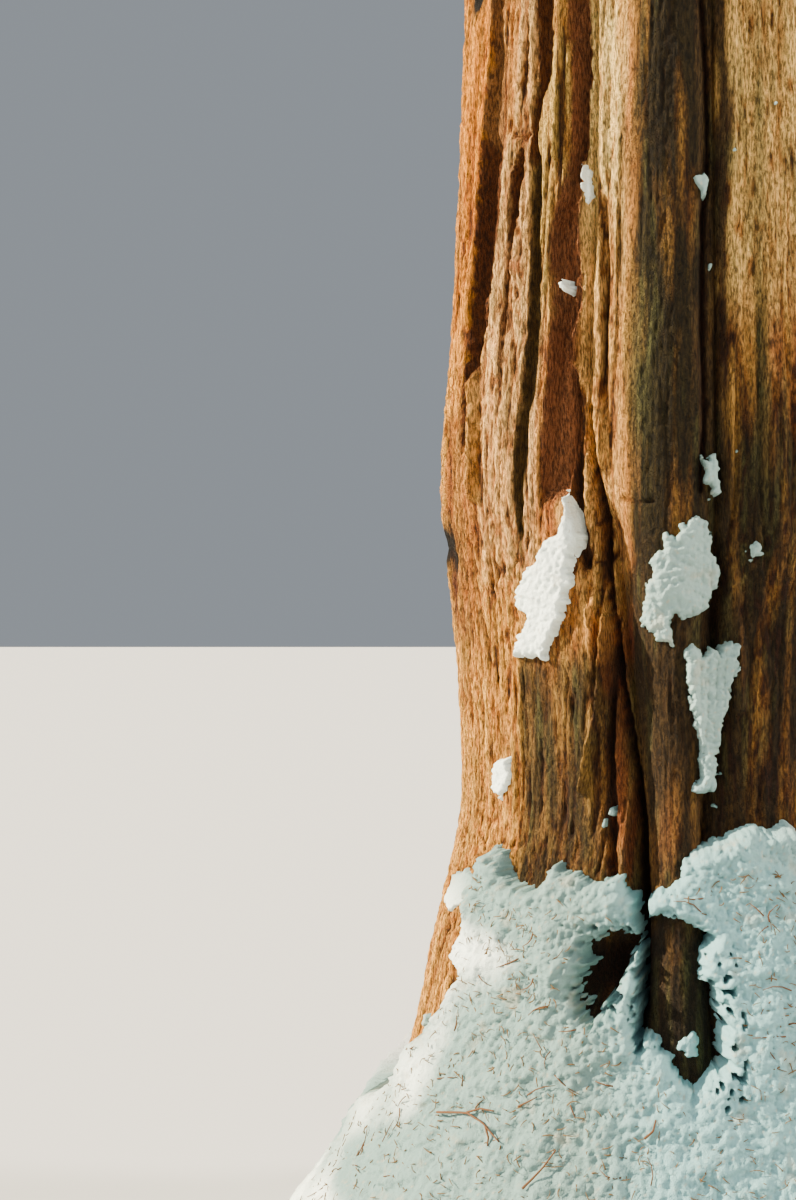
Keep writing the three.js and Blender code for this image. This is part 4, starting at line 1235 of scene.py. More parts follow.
@dataclass(frozen=True)
class Crown:
    """Boughs, twigs, sprays of shoots and a little snow, grown by the plan's rule in each mass's space."""

    trunk: Trunk
    plan: CrownPlan
    clusters: int = 27  # in one mass, spread evenly over a ball
    sprays: int = 48  # in one cluster
    cluster_out: float = 0.72  # where a cluster's middle is, in half sizes
    cluster_size: float = 0.36
    cluster_spread: tuple[float, float] = (0.82, 1.08)
    inner_clusters: int = 3
    inner_out: float = 0.25
    outward: float = 0.75  # how strongly the sprays point away from the mass's middle
    spray_out: tuple[float, float] = (0.25, 0.8)  # where in its cluster a spray starts
    sag: float = 0.12
    scatter: float = 0.28  # how far a spray's way strays
    spray_length: tuple[float, float] = (0.4, 0.7)
    cuts: tuple[float, ...] = (1, 0.8, 0.6)  # what a spray is cut to, one after another, until it fits
    shoots: int = 8  # on one spray, at its sides
    shoot_spread: tuple[float, float] = (28, 52)  # between a side shoot and the central one
    shoot_radius: float = 0.05  # of a spray that is 1 long
    variants: int = 5
    space_edge: float = 0.96  # the outline of a space, as the square of half sizes
    gap: float = 0.025  # what is left free at a plane between two masses
    clearance: float = 0.04  # and round the trunk
    leader_count: int = 46
    bough_rings: int = 30
    bough_sides: int = 20
    twig_rings: int = 6
    twig_sides: int = 5
    twig_bow: float = 0.1  # as a share of its length
    snowy_clusters: float = 0.62  # how snowy a cluster has to be, from 0 to 1
    snowy_depth: float = 0.72
    lump_share: float = 0.75  # of the sprays that snow can lie on
    lump_half: tuple[float, float] = (0.09, 0.19)
    lump_corners: int = 6
    lump_height: float = 0.45  # in its half widths
    lump_depth: float = 0.2
    seed: int = 71

    def in_space(self, points: Array, mass: Mass, masses: Sequence[Mass]) -> Array:
        """Say which points are in a mass's space.

        That is inside its rounded outline, clear of the trunk, and on its own side of the planes between it
        and the other masses.

        Args:
            points: Rows of (x, y, z).
            mass: The mass.
            masses: All the masses.

        Returns:
            True for each point that is in it.
        """
        inside = (mass.local(points) ** 2).sum(axis=1) < self.space_edge
        z = points[:, 2]
        from_axis = np.hypot(points[:, 0] - self.trunk.axis(z), points[:, 1])
        over, beside = self.trunk.top + self.clearance, self.trunk.crest_radius(z) + self.clearance
        inside &= (z > over) | (from_axis > beside)
        for other in masses:
            if other is not mass:
                between = other.centre - mass.centre
                length = np.linalg.norm(between)
                border = length * mass.size[0] / (mass.size[0] + other.size[0]) - self.gap
                inside &= (points - mass.centre) @ (between / length) < border
        return inside

    def templates(self, random: np.random.Generator) -> list[tuple[Array, Array]]:
        """Make the shapes of a spray: a central shoot, with side shoots that shorten towards its tip.

        Each shoot is a closed spike of four triangles. A spray lies along x, flat side up, and is 1 long.

        Args:
            random: Deals the angles and lengths.

        Returns:
            Points and triangles for each variant.
        """
        made = []
        for _ in range(self.variants):
            start = np.linspace(0.08, 0.72, self.shoots)
            side = np.where(np.arange(self.shoots) % 2, 1.0, -1.0)
            spread = np.radians(random.uniform(*self.shoot_spread, self.shoots))
            ways = np.c_[np.cos(spread), side * np.sin(spread), random.uniform(-0.35, 0.45, self.shoots)]
            lengths = (1 - start) * random.uniform(0.5, 0.72, self.shoots)
            roots = np.c_[start, np.zeros(self.shoots), 0.03 * random.normal(size=self.shoots)]
            roots = np.vstack([[0, 0, 0], roots])
            ways = unit(np.vstack([[1, 0, random.uniform(0, 0.1)], ways]))
            lengths = np.r_[1.0, lengths]
            widths = self.shoot_radius * np.r_[1.0, random.uniform(0.85, 1.25, self.shoots)]
            aside = unit(np.cross(ways, UP))
            over = np.cross(aside, ways)
            turn = np.radians([90, 210, 330])
            ring = aside[:, None] * np.cos(turn)[:, None] + over[:, None] * np.sin(turn)[:, None]
            base = roots[:, None] + widths[:, None, None] * ring
            tips = (roots + lengths[:, None] * ways)[:, None]
            corners = np.concatenate([base, tips], axis=1).reshape(-1, 3)
            faces = np.array([[0, 1, 3], [1, 2, 3], [2, 0, 3], [1, 0, 2]])
            faces = (faces[None] + 4 * np.arange(self.shoots + 1)[:, None, None]).reshape(-1, 3)
            made.append((corners, faces))
        return made

    def spread_sprays(
        self, mass: Mass, masses: Sequence[Mass], random: np.random.Generator
    ) -> dict[str, Array]:
        """Place the sprays of one mass: clusters over a ball, and in each the sprays that point out of it.

        A spray that doesn't fit in the mass's space is cut shorter, and left out if it never fits.

        Args:
            mass: The mass.
            masses: All the masses.
            random: Deals the places, ways and lengths.

        Returns:
            Arrays of root, way, up, length, depth (0 in the middle, 1 at the rim) and cluster middle.
        """
        level = 1 - (2 * np.arange(self.clusters) + 1) / self.clusters
        turn = np.radians(GOLDEN_ANGLE * np.arange(self.clusters) + random.uniform(0, 360))
        flat = np.sqrt(1 - level**2)
        middles = np.c_[flat * np.cos(turn), flat * np.sin(turn), level] * self.cluster_out
        middles *= random.uniform(*self.cluster_spread, (self.clusters, 1))
        inner = self.inner_out * unit(random.normal(size=(self.inner_clusters, 3)))
        middles = np.vstack([middles, inner])
        outward = self.outward * unit(middles)[:, None]
        ways = unit(random.normal(size=(len(middles), self.sprays, 3)) + outward)
        out = self.cluster_size * random.uniform(*self.spray_out, (len(middles), self.sprays, 1))
        local = (middles[:, None] + out * ways).reshape(-1, 3)
        way = unit((ways.reshape(-1, 3) * mass.size) @ mass.directions())
        way[:, 2] -= self.sag
        way = unit(way + self.scatter * random.normal(size=way.shape))
        root = mass.place(local)
        length = random.uniform(*self.spray_length, len(root)) * (0.75 + 0.25 * mass.size[1] / 3)
        for cut in self.cuts:
            tip = root + way * length[:, None] * cut
            fits = self.in_space(root, mass, masses) & self.in_space(tip, mass, masses)
            length = np.where(fits, length * cut, length)
            if cut == self.cuts[0]:
                kept, kept_length = fits.copy(), length.copy()
            else:
                kept_length = np.where(~kept & fits, length, kept_length)
                kept |= fits
            length = np.where(kept, kept_length, length)
        up = unit(np.cross(way, np.cross(UP + 0.6 * random.normal(size=way.shape), way)))
        found = {
            "root": root, "way": way, "up": up, "length": kept_length,
            "depth": np.sqrt((local**2).sum(axis=1)),
            "cluster": np.repeat(np.arange(len(middles)), self.sprays),
        }
        return {key: value[kept] for key, value in found.items()} | {"middles": mass.place(middles)}

    def leader_sprays(self, random: np.random.Generator) -> dict[str, Array]:
        """Place the sprays round the tip of the leader, the topmost reaching the tree's full height.

        Args:
            random: Deals the lengths and turns.

        Returns:
            The same arrays as for a mass, without the clusters' middles.
        """
        count, top = self.leader_count, self.trunk.height
        share = np.linspace(0, 1, count)
        angle = np.arange(count) * GOLDEN_ANGLE
        turn = np.radians(angle)
        way = np.stack([np.sin(turn), -np.cos(turn), mix(0.4, 3, share)], axis=-1)
        way[-1] = UP
        root = self.trunk.point(angle, mix(0.12, 0.0, share), mix(top - 1.25, top - 0.42, share))
        length = np.r_[random.uniform(0.3, 0.4, count - 1), 0.4]
        up = unit(random.normal(size=(count, 3)))
        up = unit(np.cross(way, np.cross(up, way)))
        return {
            "root": root, "way": unit(way), "up": up, "length": length, "depth": np.full(count, 0.9),
            "cluster": np.zeros(count, int),
        }

    def grow(self, placed: dict[str, Array], template: tuple[Array, Array]) -> tuple[Array, Array]:
        """Put one shape of spray at each place: turned to (way, aside, up) and scaled by the length.

        Args:
            placed: The arrays of the places.
            template: The shape's points and triangles.

        Returns:
            All the points, and the triangles between them.
        """
        aside = np.cross(placed["up"], placed["way"])
        turned = np.stack([placed["way"], aside, placed["up"]], axis=1)
        points = np.einsum("kj,njx->nkx", template[0], turned) * placed["length"][:, None, None]
        points += placed["root"][:, None]
        step = len(template[0]) * np.arange(len(points))[:, None, None]
        return points.reshape(-1, 3), (template[1][None] + step).reshape(-1, 3)

    def foliage(self, sprays: dict[str, Array], nodes: Sequence[str], random: np.random.Generator) -> None:
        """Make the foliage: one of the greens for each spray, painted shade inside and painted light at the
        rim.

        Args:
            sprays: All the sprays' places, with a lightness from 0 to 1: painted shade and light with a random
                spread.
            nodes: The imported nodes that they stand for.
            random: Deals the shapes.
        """
        templates = self.templates(random)
        count = len(sprays["root"])
        shape = random.integers(0, len(templates), count)
        order = np.argsort(np.argsort(sprays["shade_and_tone"]))
        shade = order * len(FOLIAGE_FINISHES) // count
        for index, finish in enumerate(FOLIAGE_FINISHES):
            chosen = np.flatnonzero(shade == index)
            faces_each = len(templates[0][1])
            parts = math.ceil(len(chosen) * faces_each / PIECE_LIMIT)
            material = finish.make()
            for part, picked in enumerate(np.array_split(chosen, parts)):
                surface = Surface()
                for number, template in enumerate(templates):
                    here = picked[shape[picked] == number]
                    points, faces = self.grow({key: value[here] for key, value in sprays.items()}, template)
                    surface.add(points, [faces], flat=True)
                place_piece(f"{finish.name}_{part + 1}", surface, material, Slot.FOLIAGE, nodes)

    def limbs(self, masses: Sequence[Mass]) -> None:
        """Make the boughs: each a ridged curve through root, elbow and tip, thick where it starts.

        At share t along it, the radius is the girth times (1 less half of t, plus 0.7 of a bell at the root).

        Args:
            masses: The masses that the boughs carry.
        """
        paths = np.array([mass.bough for mass in masses])
        girth = np.array([mass.girth for mass in masses])
        t = np.linspace(0, 1, self.bough_rings)
        weights = np.stack([(2 * t - 1) * (t - 1), 4 * t * (1 - t), t * (2 * t - 1)])
        centres = np.einsum("kt,nkx->ntx", weights, paths)
        radii = girth[:, None] * (1 - 0.5 * t + 0.7 * np.exp(-((t / 0.22) ** 2)))
        noise = Noise(23)
        relief = lambda points: 0.022 * noise.at(points, 0.16) + 0.01 * noise.at(points, 0.06)
        surface = tubes(centres, radii, self.bough_sides, relief)
        points = np.concatenate(surface.points)
        tint = paint(DARK_BOUGH, PALE_BOUGH, np.clip(0.5 + 0.5 * noise.at(points, 0.3), 0, 1))
        nodes = [f"bough_{mass.name}" for mass in masses]
        place_piece("boughs", surface, BOUGH_FINISH.make(), Slot.BOUGH_BARK, nodes, tint)

    def twigs(self, masses: Sequence[Mass], middles: Sequence[Array], random: np.random.Generator) -> None:
        """Make the wood inside the masses: a stem to each mass's middle, and a bowed twig to each cluster.

        Args:
            masses: The masses.
            middles: The clusters' middles, for each mass.
            random: Deals the bows.
        """
        starts, ends, girths = [], [], []
        for mass, cluster in zip(masses, middles):
            starts.append(mass.tip[None])
            ends.append(mass.centre[None])
            girths.append(np.array([mass.stem]))
            starts.append(np.repeat(mix(mass.tip, mass.centre, 0.7)[None], len(cluster), axis=0))
            ends.append(cluster)
            girths.append(np.full(len(cluster), 0.5 * mass.stem))
        start, end, girth = (np.concatenate(parts) for parts in (starts, ends, girths))
        t = np.linspace(0, 1, self.twig_rings)[:, None]
        bow = 4 * t * (1 - t) * self.twig_bow * np.linalg.norm(end - start, axis=1)[:, None, None]
        centres = mix(start[:, None], end[:, None], t) + bow * random.normal(size=(len(start), 1, 3))
        surface = tubes(centres, girth[:, None] * (1 - 0.65 * t[:, 0]), self.twig_sides)
        place_piece("twigs", surface, TWIG_FINISH.make(), Slot.BOUGH_BARK)

    def snow(self, sprays: dict[str, Array], random: np.random.Generator) -> None:
        """Make the snow on the crown: flattened lumps on the upper sprays of about a third of the clusters.

        Each lump is a ring of corners with a raised middle above and a shallow one below.

        Args:
            sprays: All the sprays' places, with how snowy they are.
            random: Deals the lumps.
        """
        lying = (sprays["snowy"] > self.snowy_clusters) & (sprays["depth"] > self.snowy_depth)
        chosen = np.flatnonzero(lying & (sprays["way"][:, 2] > 0.05))
        chosen = chosen[random.random(len(chosen)) < self.lump_share]
        count, corners = len(chosen), self.lump_corners
        middle = sprays["root"][chosen] + 0.55 * (sprays["way"] * sprays["length"][:, None])[chosen]
        half = random.uniform(*self.lump_half, (count, 1))
        side = np.arange(corners)
        turn = np.radians(360 / corners * side)[None] + random.uniform(0, 6, (count, 1))
        reach = half * random.uniform(0.7, 1.2, (count, corners))
        wave = 0.02 * random.normal(size=(count, corners))
        ring = np.stack([reach * np.cos(turn), reach * np.sin(turn), wave], axis=-1)
        peaks = np.zeros((count, 2, 3))
        peaks[:, :, 2] = half * (self.lump_height, -self.lump_depth)
        points = np.concatenate([ring, peaks], axis=1) + middle[:, None]
        beside, peak = (side + 1) % corners, np.full(corners, corners)
        lump = np.vstack([np.c_[side, beside, peak], np.c_[beside, side, peak + 1]])
        starts = (corners + 2) * np.arange(count)[:, None, None]
        surface = Surface()
        surface.add(points, [(lump[None] + starts).reshape(-1, 3)])
        place_piece("crown_snow", surface, CROWN_SNOW_FINISH.make(), Slot.SNOW)

    def build(self) -> None:
        """Make the boughs, the twigs, the foliage and the snow on it."""
        random = np.random.default_rng(self.seed)
        boughs = self.plan.boughs()
        masses = [*boughs, *self.plan.tops()]
        self.limbs(boughs)
        found, middles = [], []
        for mass in masses:
            sprays = self.spread_sprays(mass, masses, random)
            middles.append(sprays.pop("middles"))
            tones = random.random(len(middles[-1]))
            snows = random.random(len(middles[-1]))
            lift = mass.local(sprays["root"])[:, 2]
            # Painted shade deep inside a mass, painted light at its rim and high in it, with a random spread
            # by cluster and by spray.
            sprays["shade_and_tone"] = sprays["depth"] + 0.35 * tones[sprays["cluster"]] + 0.22 * lift
            sprays["shade_and_tone"] += 0.2 * random.random(len(lift))
            sprays["snowy"] = snows[sprays["cluster"]] * (lift > 0.12)
            found.append(sprays)
        leader = self.leader_sprays(random)
        count = len(leader["root"])
        # The leader's sprays take the lightest greens: painted light at the top.
        found.append({**leader, "shade_and_tone": 1 + 0.3 * random.random(count), "snowy": np.zeros(count)})
        sprays = {key: np.concatenate([part[key] for part in found]) for key in found[0]}
        self.twigs(masses, middles, random)
        self.foliage(sprays, [f"foliage_{mass.name}" for mass in masses], random)
        self.snow(sprays, random)


# Snow on the trunk


@dataclass(frozen=True)
class SnowPatch:
    """A patch of snow on the bark: an outline of (angle, height), its thickness, and how it lies."""

    name: str
    outline: Outline
    thick: float
    follow: float = 0.8  # how far it follows the furrows: 1 is all the way
    step: float = 0.0042
    replaced: tuple[str, ...] = ()
    even: bool = False  # whether its clumps are evened out where it lies on a steep wall


def oval(angle: float, height: float, half_width: float, half_height: float) -> Outline:
    """Outline a small oval patch by eight corners, its half sizes in metres."""
    turn = np.arange(8) * np.pi / 4
    across = np.degrees(half_width / WAIST_RADIUS) * np.cos(turn)
    return tuple(zip(angle + across, height + half_height * np.sin(turn)))


PATCHES = (
    SnowPatch("snow_patch_main_furrow", (
        (-33.2, 3.108), (-32, 3.04), (-31.1, 2.947), (-32.1, 2.837), (-33.6, 2.719), (-36.6, 2.618),
        (-41.2, 2.518), (-50.1, 2.51), (-50.5, 2.549), (-48.8, 2.601), (-45.7, 2.653), (-49.2, 2.724),
        (-46.8, 2.784), (-41, 2.875), (-38.2, 2.938), (-35.1, 2.956), (-33.8, 3.023),
    ), 0.036, 0.75, replaced=("snow_main_furrow",), even=True),
    SnowPatch("snow_patch_middle_column", (
        (-8, 2.979), (-5.3, 2.993), (-1.8, 2.983), (-1, 2.951), (0, 2.869), (1.9, 2.802), (1.2, 2.761),
        (-1.3, 2.701), (-3.9, 2.667), (-6.8, 2.658), (-8.7, 2.663), (-10, 2.634), (-9.3, 2.559),
        (-11.1, 2.567), (-13.9, 2.592), (-17, 2.626), (-15.9, 2.684), (-16.1, 2.775), (-14.3, 2.799),
        (-15.1, 2.866), (-12.1, 2.898), (-11.6, 2.943), (-9, 2.938),
    ), 0.036, 0.85, replaced=("snow_middle_column",)),
    SnowPatch("snow_patch_right_furrow", (
        (-5, 2.58), (-3.8, 2.55), (-2.5, 2.52), (-1, 2.559), (1.5, 2.55), (2.5, 2.57), (4.8, 2.584),
        (6, 2.559), (5.9, 2.492), (5.5, 2.433), (4.9, 2.366), (3.4, 2.306), (2.4, 2.246), (1.7, 2.177),
        (1.8, 2.127), (3.7, 2.121), (3.3, 2.104), (1.6, 2.097), (1, 2.051), (-2.8, 2.047), (-4.8, 2.057),
        (-3.5, 2.098), (-2.8, 2.131), (-3.9, 2.232), (-4.9, 2.333), (-6.1, 2.417), (-6.7, 2.492),
        (-6.5, 2.55),
    ), 0.04, replaced=("snow_right_furrow",)),
    SnowPatch("snow_patch_left_column", (
        (-57.3, 2.14), (-53.6, 2.157), (-53.8, 2.09), (-55.4, 2.035), (-57.4, 1.984), (-60.5, 2.013),
        (-61.9, 2.064), (-59.9, 2.102),
    ), 0.02, replaced=("snow_left_column",)),
    SnowPatch("snow_patch_groove", (
        (-3.4, 3.22), (-2.8, 3.203), (0.1, 3.223), (0.8, 3.177), (1, 3.093), (-1.4, 3.063), (-1.1, 3.106),
        (-2.8, 3.128), (-3.3, 3.17),
    ), 0.022),
    SnowPatch("snow_patch_back_furrow", (
        (133, 2.54), (136, 2.38), (140, 2.3), (143.5, 2.56), (143.5, 3), (140, 2.96), (136, 2.83),
        (133, 2.7),
    ), 0.045, step=0.016, replaced=("snow_back_furrow",)),
    SnowPatch("snow_patch_root_edge", (
        (-78, 1.67), (-70, 1.72), (-65, 1.7), (-63.5, 1.66), (-66, 1.6), (-74.9, 1.55), (-80, 1.575),
    ), 0.008),
    SnowPatch("snow_patch_root_low", (
        (-76.6, 1.114), (-75.3, 1.156), (-73.3, 1.155), (-72.8, 1.119), (-74.6, 1.099),
    ), 0.014),
    SnowPatch("snow_patch_root_front", (
        (-6.7, 1.232), (-5.3, 1.258), (-4.2, 1.224), (-4.2, 1.172), (-5.9, 1.168), (-8, 1.21),
    ), 0.022),
    SnowPatch("snow_patch_right_column", (
        (8.8, 2.931), (10.4, 2.915), (10.7, 2.874), (9.6, 2.857), (8.1, 2.846), (7.5, 2.882), (8.2, 2.907),
    ), 0.012),
    SnowPatch("snow_patch_right_groove", (
        (-4.4, 4.18), (-2.4, 4.195), (-1.2, 4.175), (-1.7, 4.13), (-2.7, 4.121), (-4.2, 4.155),
    ), 0.012),
    SnowPatch("snow_patch_flap", (
        (-32.4, 4.235), (-31.8, 4.26), (-30.9, 4.25), (-30.8, 4.17), (-31.3, 4.13), (-32, 4.16),
    ), 0.012, 1.0),
    SnowPatch("snow_patch_flap_low", (
        (-36.6, 3.86), (-35.6, 3.87), (-35.3, 3.82), (-36, 3.805), (-36.6, 3.83),
    ), 0.01, 1.0),
)
FLECKS = (
    oval(-24.4, 1.977, 0.014, 0.013), oval(-26, 1.94, 0.009, 0.015), oval(14.6, 4.44, 0.011, 0.01),
    oval(5, 4.291, 0.006, 0.018), oval(4.7, 3.22, 0.005, 0.011), oval(-0.5, 3.875, 0.008, 0.011),
    oval(1.5, 1.998, 0.014, 0.009), oval(-5.2, 1.938, 0.015, 0.008), oval(19, 3.7, 0.006, 0.01),
    oval(62, 2.3, 0.03, 0.06), oval(205, 2.0, 0.04, 0.08), oval(104, 1.9, 0.03, 0.05),
)
BAYS, CLUMPS, SMALL_CLUMPS = Cells(0, 0.085), Cells(4.1, 0.034), Cells(6, 0.017)
RIM_GRAINS, SNOW_GRAINS = Cells(8, 0.0095), Cells(3.3, 0.0135)
HUMPS, LUMPS = Cells(1.7, 0.11), Cells(2.9, 0.055)
SNOW_STAINS, STAIN_RIMS, BITS = Cells(12, 0.09), Cells(0, 0.03), Cells(19, 0.012)
LIT_SWAYS = Cells(25, 0.3)
PITS = Cells(21, 0.024, 0.03)
PITTED = ((-1, 3), (1.06, 1.5), 2, 0.08)  # where the banked snow has pits


@dataclass(frozen=True)
class TrunkSnow:
    """The snow that lies on the bark and is banked round the foot."""

    trunk: Trunk
    foot_left: Outline = (
        (-100, 0.8), (-88, 0.8), (-82, 0.83), (-78.8, 0.852), (-77.8, 0.886), (-74.6, 0.981), (-72.9, 1.066),
        (-64.9, 1.194), (-62.2, 1.279), (-58.4, 1.372), (-62.6, 1.396), (-61.3, 1.465), (-60.3, 1.567),
        (-63.4, 1.667), (-60.6, 1.732), (-58.8, 1.802), (-56, 1.822), (-52.3, 1.803), (-51.2, 1.745),
        (-48.7, 1.713), (-42.6, 1.7), (-39.5, 1.715), (-37.4, 1.765), (-36.4, 1.8), (-34.4, 1.771),
        (-31, 1.77), (-28.5, 1.745), (-25.2, 1.75), (-22.4, 1.77), (-20.5, 1.765), (-19.2, 1.72),
        (-17.5, 1.69), (-16.9, 1.64), (-16.8, 1.58), (-16.3, 1.5), (-16.4, 1.4), (-16.2, 1.25),
    )
    leg: Outline = (
        (-15.6, 1.21), (-14.4, 1.25), (-12.1, 1.229), (-10.8, 1.198), (-8.9, 1.179), (-8.3, 1.124),
        (-5.7, 1.086), (-3, 1.108), (0.1, 1.161), (-0.2, 1.248), (-0.4, 1.313), (-0.9, 1.389), (-4.3, 1.445),
        (-3.8, 1.502), (-1.4, 1.564), (-6.7, 1.613), (-11, 1.636),
    )
    foot_right: Outline = (
        (-14.8, 1.615), (-15.6, 1.667), (-13.4, 1.713), (-10.3, 1.735), (-8.2, 1.757), (-6.6, 1.812),
        (-4.1, 1.853), (-1, 1.875), (2, 1.894), (4.7, 1.92), (9.1, 1.944), (13, 1.925), (16.9, 1.939),
        (20.3, 1.923), (27, 1.84), (34, 1.7), (47, 1.48), (57, 1.24), (64, 1.08), (72, 1), (79, 1.1),
        (86, 1.24), (93, 1.2), (100, 1.1), (116, 0.78), (126, 0.72), (142, 0.96), (158, 1.3), (174, 1.12),
        (190, 0.82), (200, 0.7), (216, 0.9), (232, 1.05), (248, 0.86), (260, 0.82), (272, 0.8), (290, 0.8),
        (290, -0.4), (-100, -0.4),
    )
    hollow: Outline = (
        (-27.6, 1.4), (-26.2, 1.48), (-27.2, 1.556), (-20, 1.57), (-16.7, 1.552), (-17.6, 1.51),
        (-19.2, 1.485), (-21, 1.42), (-20.8, 1.365), (-23.2, 1.335), (-25.2, 1.305), (-28, 1.345),
    )
    thick: float = 0.085
    spread: float = 0.035  # what the banked snow gains at the ground
    spread_top: float = 1.7
    furrowed: float = 0.3  # how far its top follows the furrows up there; at the ground it doesn't
    bank_top: float = 2.06
    banks: tuple[tuple[str, float, float, float, tuple[str, ...]], ...] = (  # name, angles, step, replaced
        ("snow_bank_left", -96, -24, 0.0078, ("snow_foot_left", "snow_foot_middle")),
        ("snow_bank_right", -24, 34, 0.0078, ("snow_foot_right",)),
        ("snow_bank_behind", 34, 264, 0.02, ("snow_foot_side", "snow_foot_back", "snow_foot_far_left")),
    )
    inner_height: float = 1.5  # the height on the axis that the banked snow is closed to
    margin: float = 0.045  # between a patch's outline and the edge of its grid
    under: float = 0.008  # how deep under the bark the snow's cells are kept
    rows: int = 7  # how many rows up and down a patch evens over
    noise: Noise = field(default_factory=partial(Noise, 9))
    white: Colour = (0.42, 0.45, 0.46)
    # Painted shade on the side in view: cool over it, shaded low down and blue at the right; painted sunlight,
    # bright, up to the lit edge.
    cool: Colour = (0.25, 0.375, 0.37)
    shaded: Colour = (0.165, 0.275, 0.27)
    blue: Colour = (0.21, 0.42, 0.46)
    bright: Colour = (0.85, 0.95, 0.9)
    lit_edge: Table = (
        (0.7, -1.35), (1, -1.15), (1.2, -1), (1.34, -0.87), (1.48, -0.77), (1.6, -0.9), (1.85, -0.93),
        (2, -0.6), (2.45, -0.35), (3, -0.35),
    )
    stain: Colour = (0.5, 0.36, 0.2)

    def foot_outline(self) -> Array:
        """Give the outline of the banked snow on the chart."""
        return on_chart((*self.foot_left, *self.leg, *self.foot_right))

    def cover(self, edge: Array, thick: Array | float, places: Array) -> Array:
        """Work out how thick the snow is: a quarter round at the rim, then level, with clumps and grains.

        The rim is made ragged by noise of several sizes. Past it the snow runs on down under the bark, so
        that the two surfaces meet in a clean line.

        Args:
            edge: How far inside the outline each point is.
            thick: The full thickness.
            places: Where the noise is read.

        Returns:
            The thickness, negative under the bark.
        """
        read = partial(self.noise.read, places)
        small = read(SMALL_CLUMPS)
        edge = edge + 0.011 * read(BAYS) + 0.012 * read(CLUMPS) + 0.008 * small - 0.003
        edge = edge + 0.005 * read(RIM_GRAINS)
        rounded = np.clip(edge / (0.42 * thick + 0.006), 0, 1)
        level = thick * np.sqrt(1 - (1 - rounded) ** 2)
        grown = np.clip(np.asarray(thick) / 0.045, 0.3, 1.25)
        rough = 0.016 * read(HUMPS) + 0.013 * np.abs(read(LUMPS)) + 0.006 * small
        rough += 0.006 * read(SNOW_GRAINS)
        return np.where(edge > 0, level + (0.35 + 0.65 * ease(0, 0.03, edge)) * grown * rough, 1.5 * edge)

    def tint(self, places: Array) -> Array:
        """Colour the snow: white, cool and blue where the photograph shows shade, bright where it shows sun.

        Faint brown stains and bits come over it.

        Args:
            places: Rows of (x, y, z).

        Returns:
            A colour for each place.
        """
        read = partial(self.noise.read, places)
        stained = ease(0.42, 0.75, read(SNOW_STAINS) + 0.3 * read(STAIN_RIMS))
        bits = ease(0.55, 0.7, read(BITS))
        front = window(np.degrees(np.arctan2(places[:, 0], -places[:, 1])), -90, 8, 25)
        low = front * ease(2.3, 1.6, places[:, 2])
        right = low * ease(-0.5, -0.15, places[:, 0])
        lit_to = along(self.lit_edge, places[:, 2])
        lit = front * ease(0.12, -0.12, places[:, 0] - lit_to + 0.2 * read(LIT_SWAYS))
        colour = np.array(self.white)
        for other, share in ((self.cool, front), (self.shaded, low), (self.blue, right), (self.bright, lit)):
            colour = paint(colour, other, share)
        return paint(colour, self.stain, 0.2 * stained + 0.35 * bits)

    def sheet(
        self,
        name: str,
        angle: Array,
        z: Array,
        radius: Array,
        cover: Array,
        apex: Array,
        material: bpy.types.Material,
        replaced: Sequence[str],
    ) -> None:
        """Make one closed piece of snow from a grid, keeping the cells where there is snow.

        Args:
            name: The piece's name.
            angle: The grid's angles, as rows and columns.
            z: The grid's heights.
            radius: What the snow lies on.
            cover: Its thickness there.
            apex: A point inside the trunk, to close it with.
            material: Its finish.
            replaced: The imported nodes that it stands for.
        """
        rows, columns = angle.shape
        faces = grid_faces(rows, columns)
        faces = faces[(cover.ravel()[faces] > -self.under).any(axis=1)]
        used, renumbered = np.unique(faces, return_inverse=True)
        points = self.trunk.point(angle.ravel()[used], (radius + cover).ravel()[used], z.ravel()[used])
        surface = Surface()
        surface.add(points, [renumbered.reshape(-1, 4)])
        close_with(surface, apex, surface.faces[0])
        tint = self.tint(np.vstack([points, apex]))
        place_piece(name, surface, material, Slot.SNOW, replaced, tint)

    def evened(self, grid: Array) -> Array:
        """Give the mean of each place on a grid and those a few rows above and below it."""
        return sum(np.roll(grid, up, axis=0) for up in range(-self.rows, self.rows + 1)) / (2 * self.rows + 1)

    def patch(self, patch: SnowPatch, material: bpy.types.Material) -> None:
        """Make one patch on the bark, on a grid that its outline fits in.

        It rests on the higher of the bark without its fine relief and the furrows filled in as far as the
        patch says. Its rim comes down to the bark itself.

        Args:
            patch: The patch.
            material: Its finish.
        """
        outline = on_chart(patch.outline)
        (left, bottom), (right, top) = outline.min(axis=0) - self.margin, outline.max(axis=0) + self.margin
        across = np.arange(left, right, patch.step)
        heights = np.arange(bottom, top, patch.step)
        z, chart = np.meshgrid(heights, across, indexing="ij")
        angle = np.degrees(chart / WAIST_RADIUS)
        places = self.trunk.flow(angle.ravel(), z.ravel())
        edge = depth_inside(chart.ravel(), z.ravel(), outline)
        cover = self.cover(edge, patch.thick, places).reshape(z.shape)
        bark = self.trunk.bark_radius(angle, z)
        plain = self.evened(self.trunk.bark_radius(angle, z, COARSE) - 0.006)
        if patch.even:
            steep = ease(0.6, 1.6, np.abs(np.gradient(plain, patch.step, axis=1)))
            cover = mix(cover, self.evened(cover), steep)
        smooth = self.trunk.soft_radius(angle, z, patch.follow)
        lies_on = mix(bark, np.maximum(plain, smooth), ease(0, 0.6 * patch.thick, cover))
        middle = outline.mean(axis=0)
        inner = self.trunk.crest_radius(middle[1]) * 0.6
        apex = self.trunk.point(np.degrees(middle[0] / WAIST_RADIUS), inner, middle[1])
        self.sheet(patch.name, angle, z, lies_on, cover, apex, material, patch.replaced)

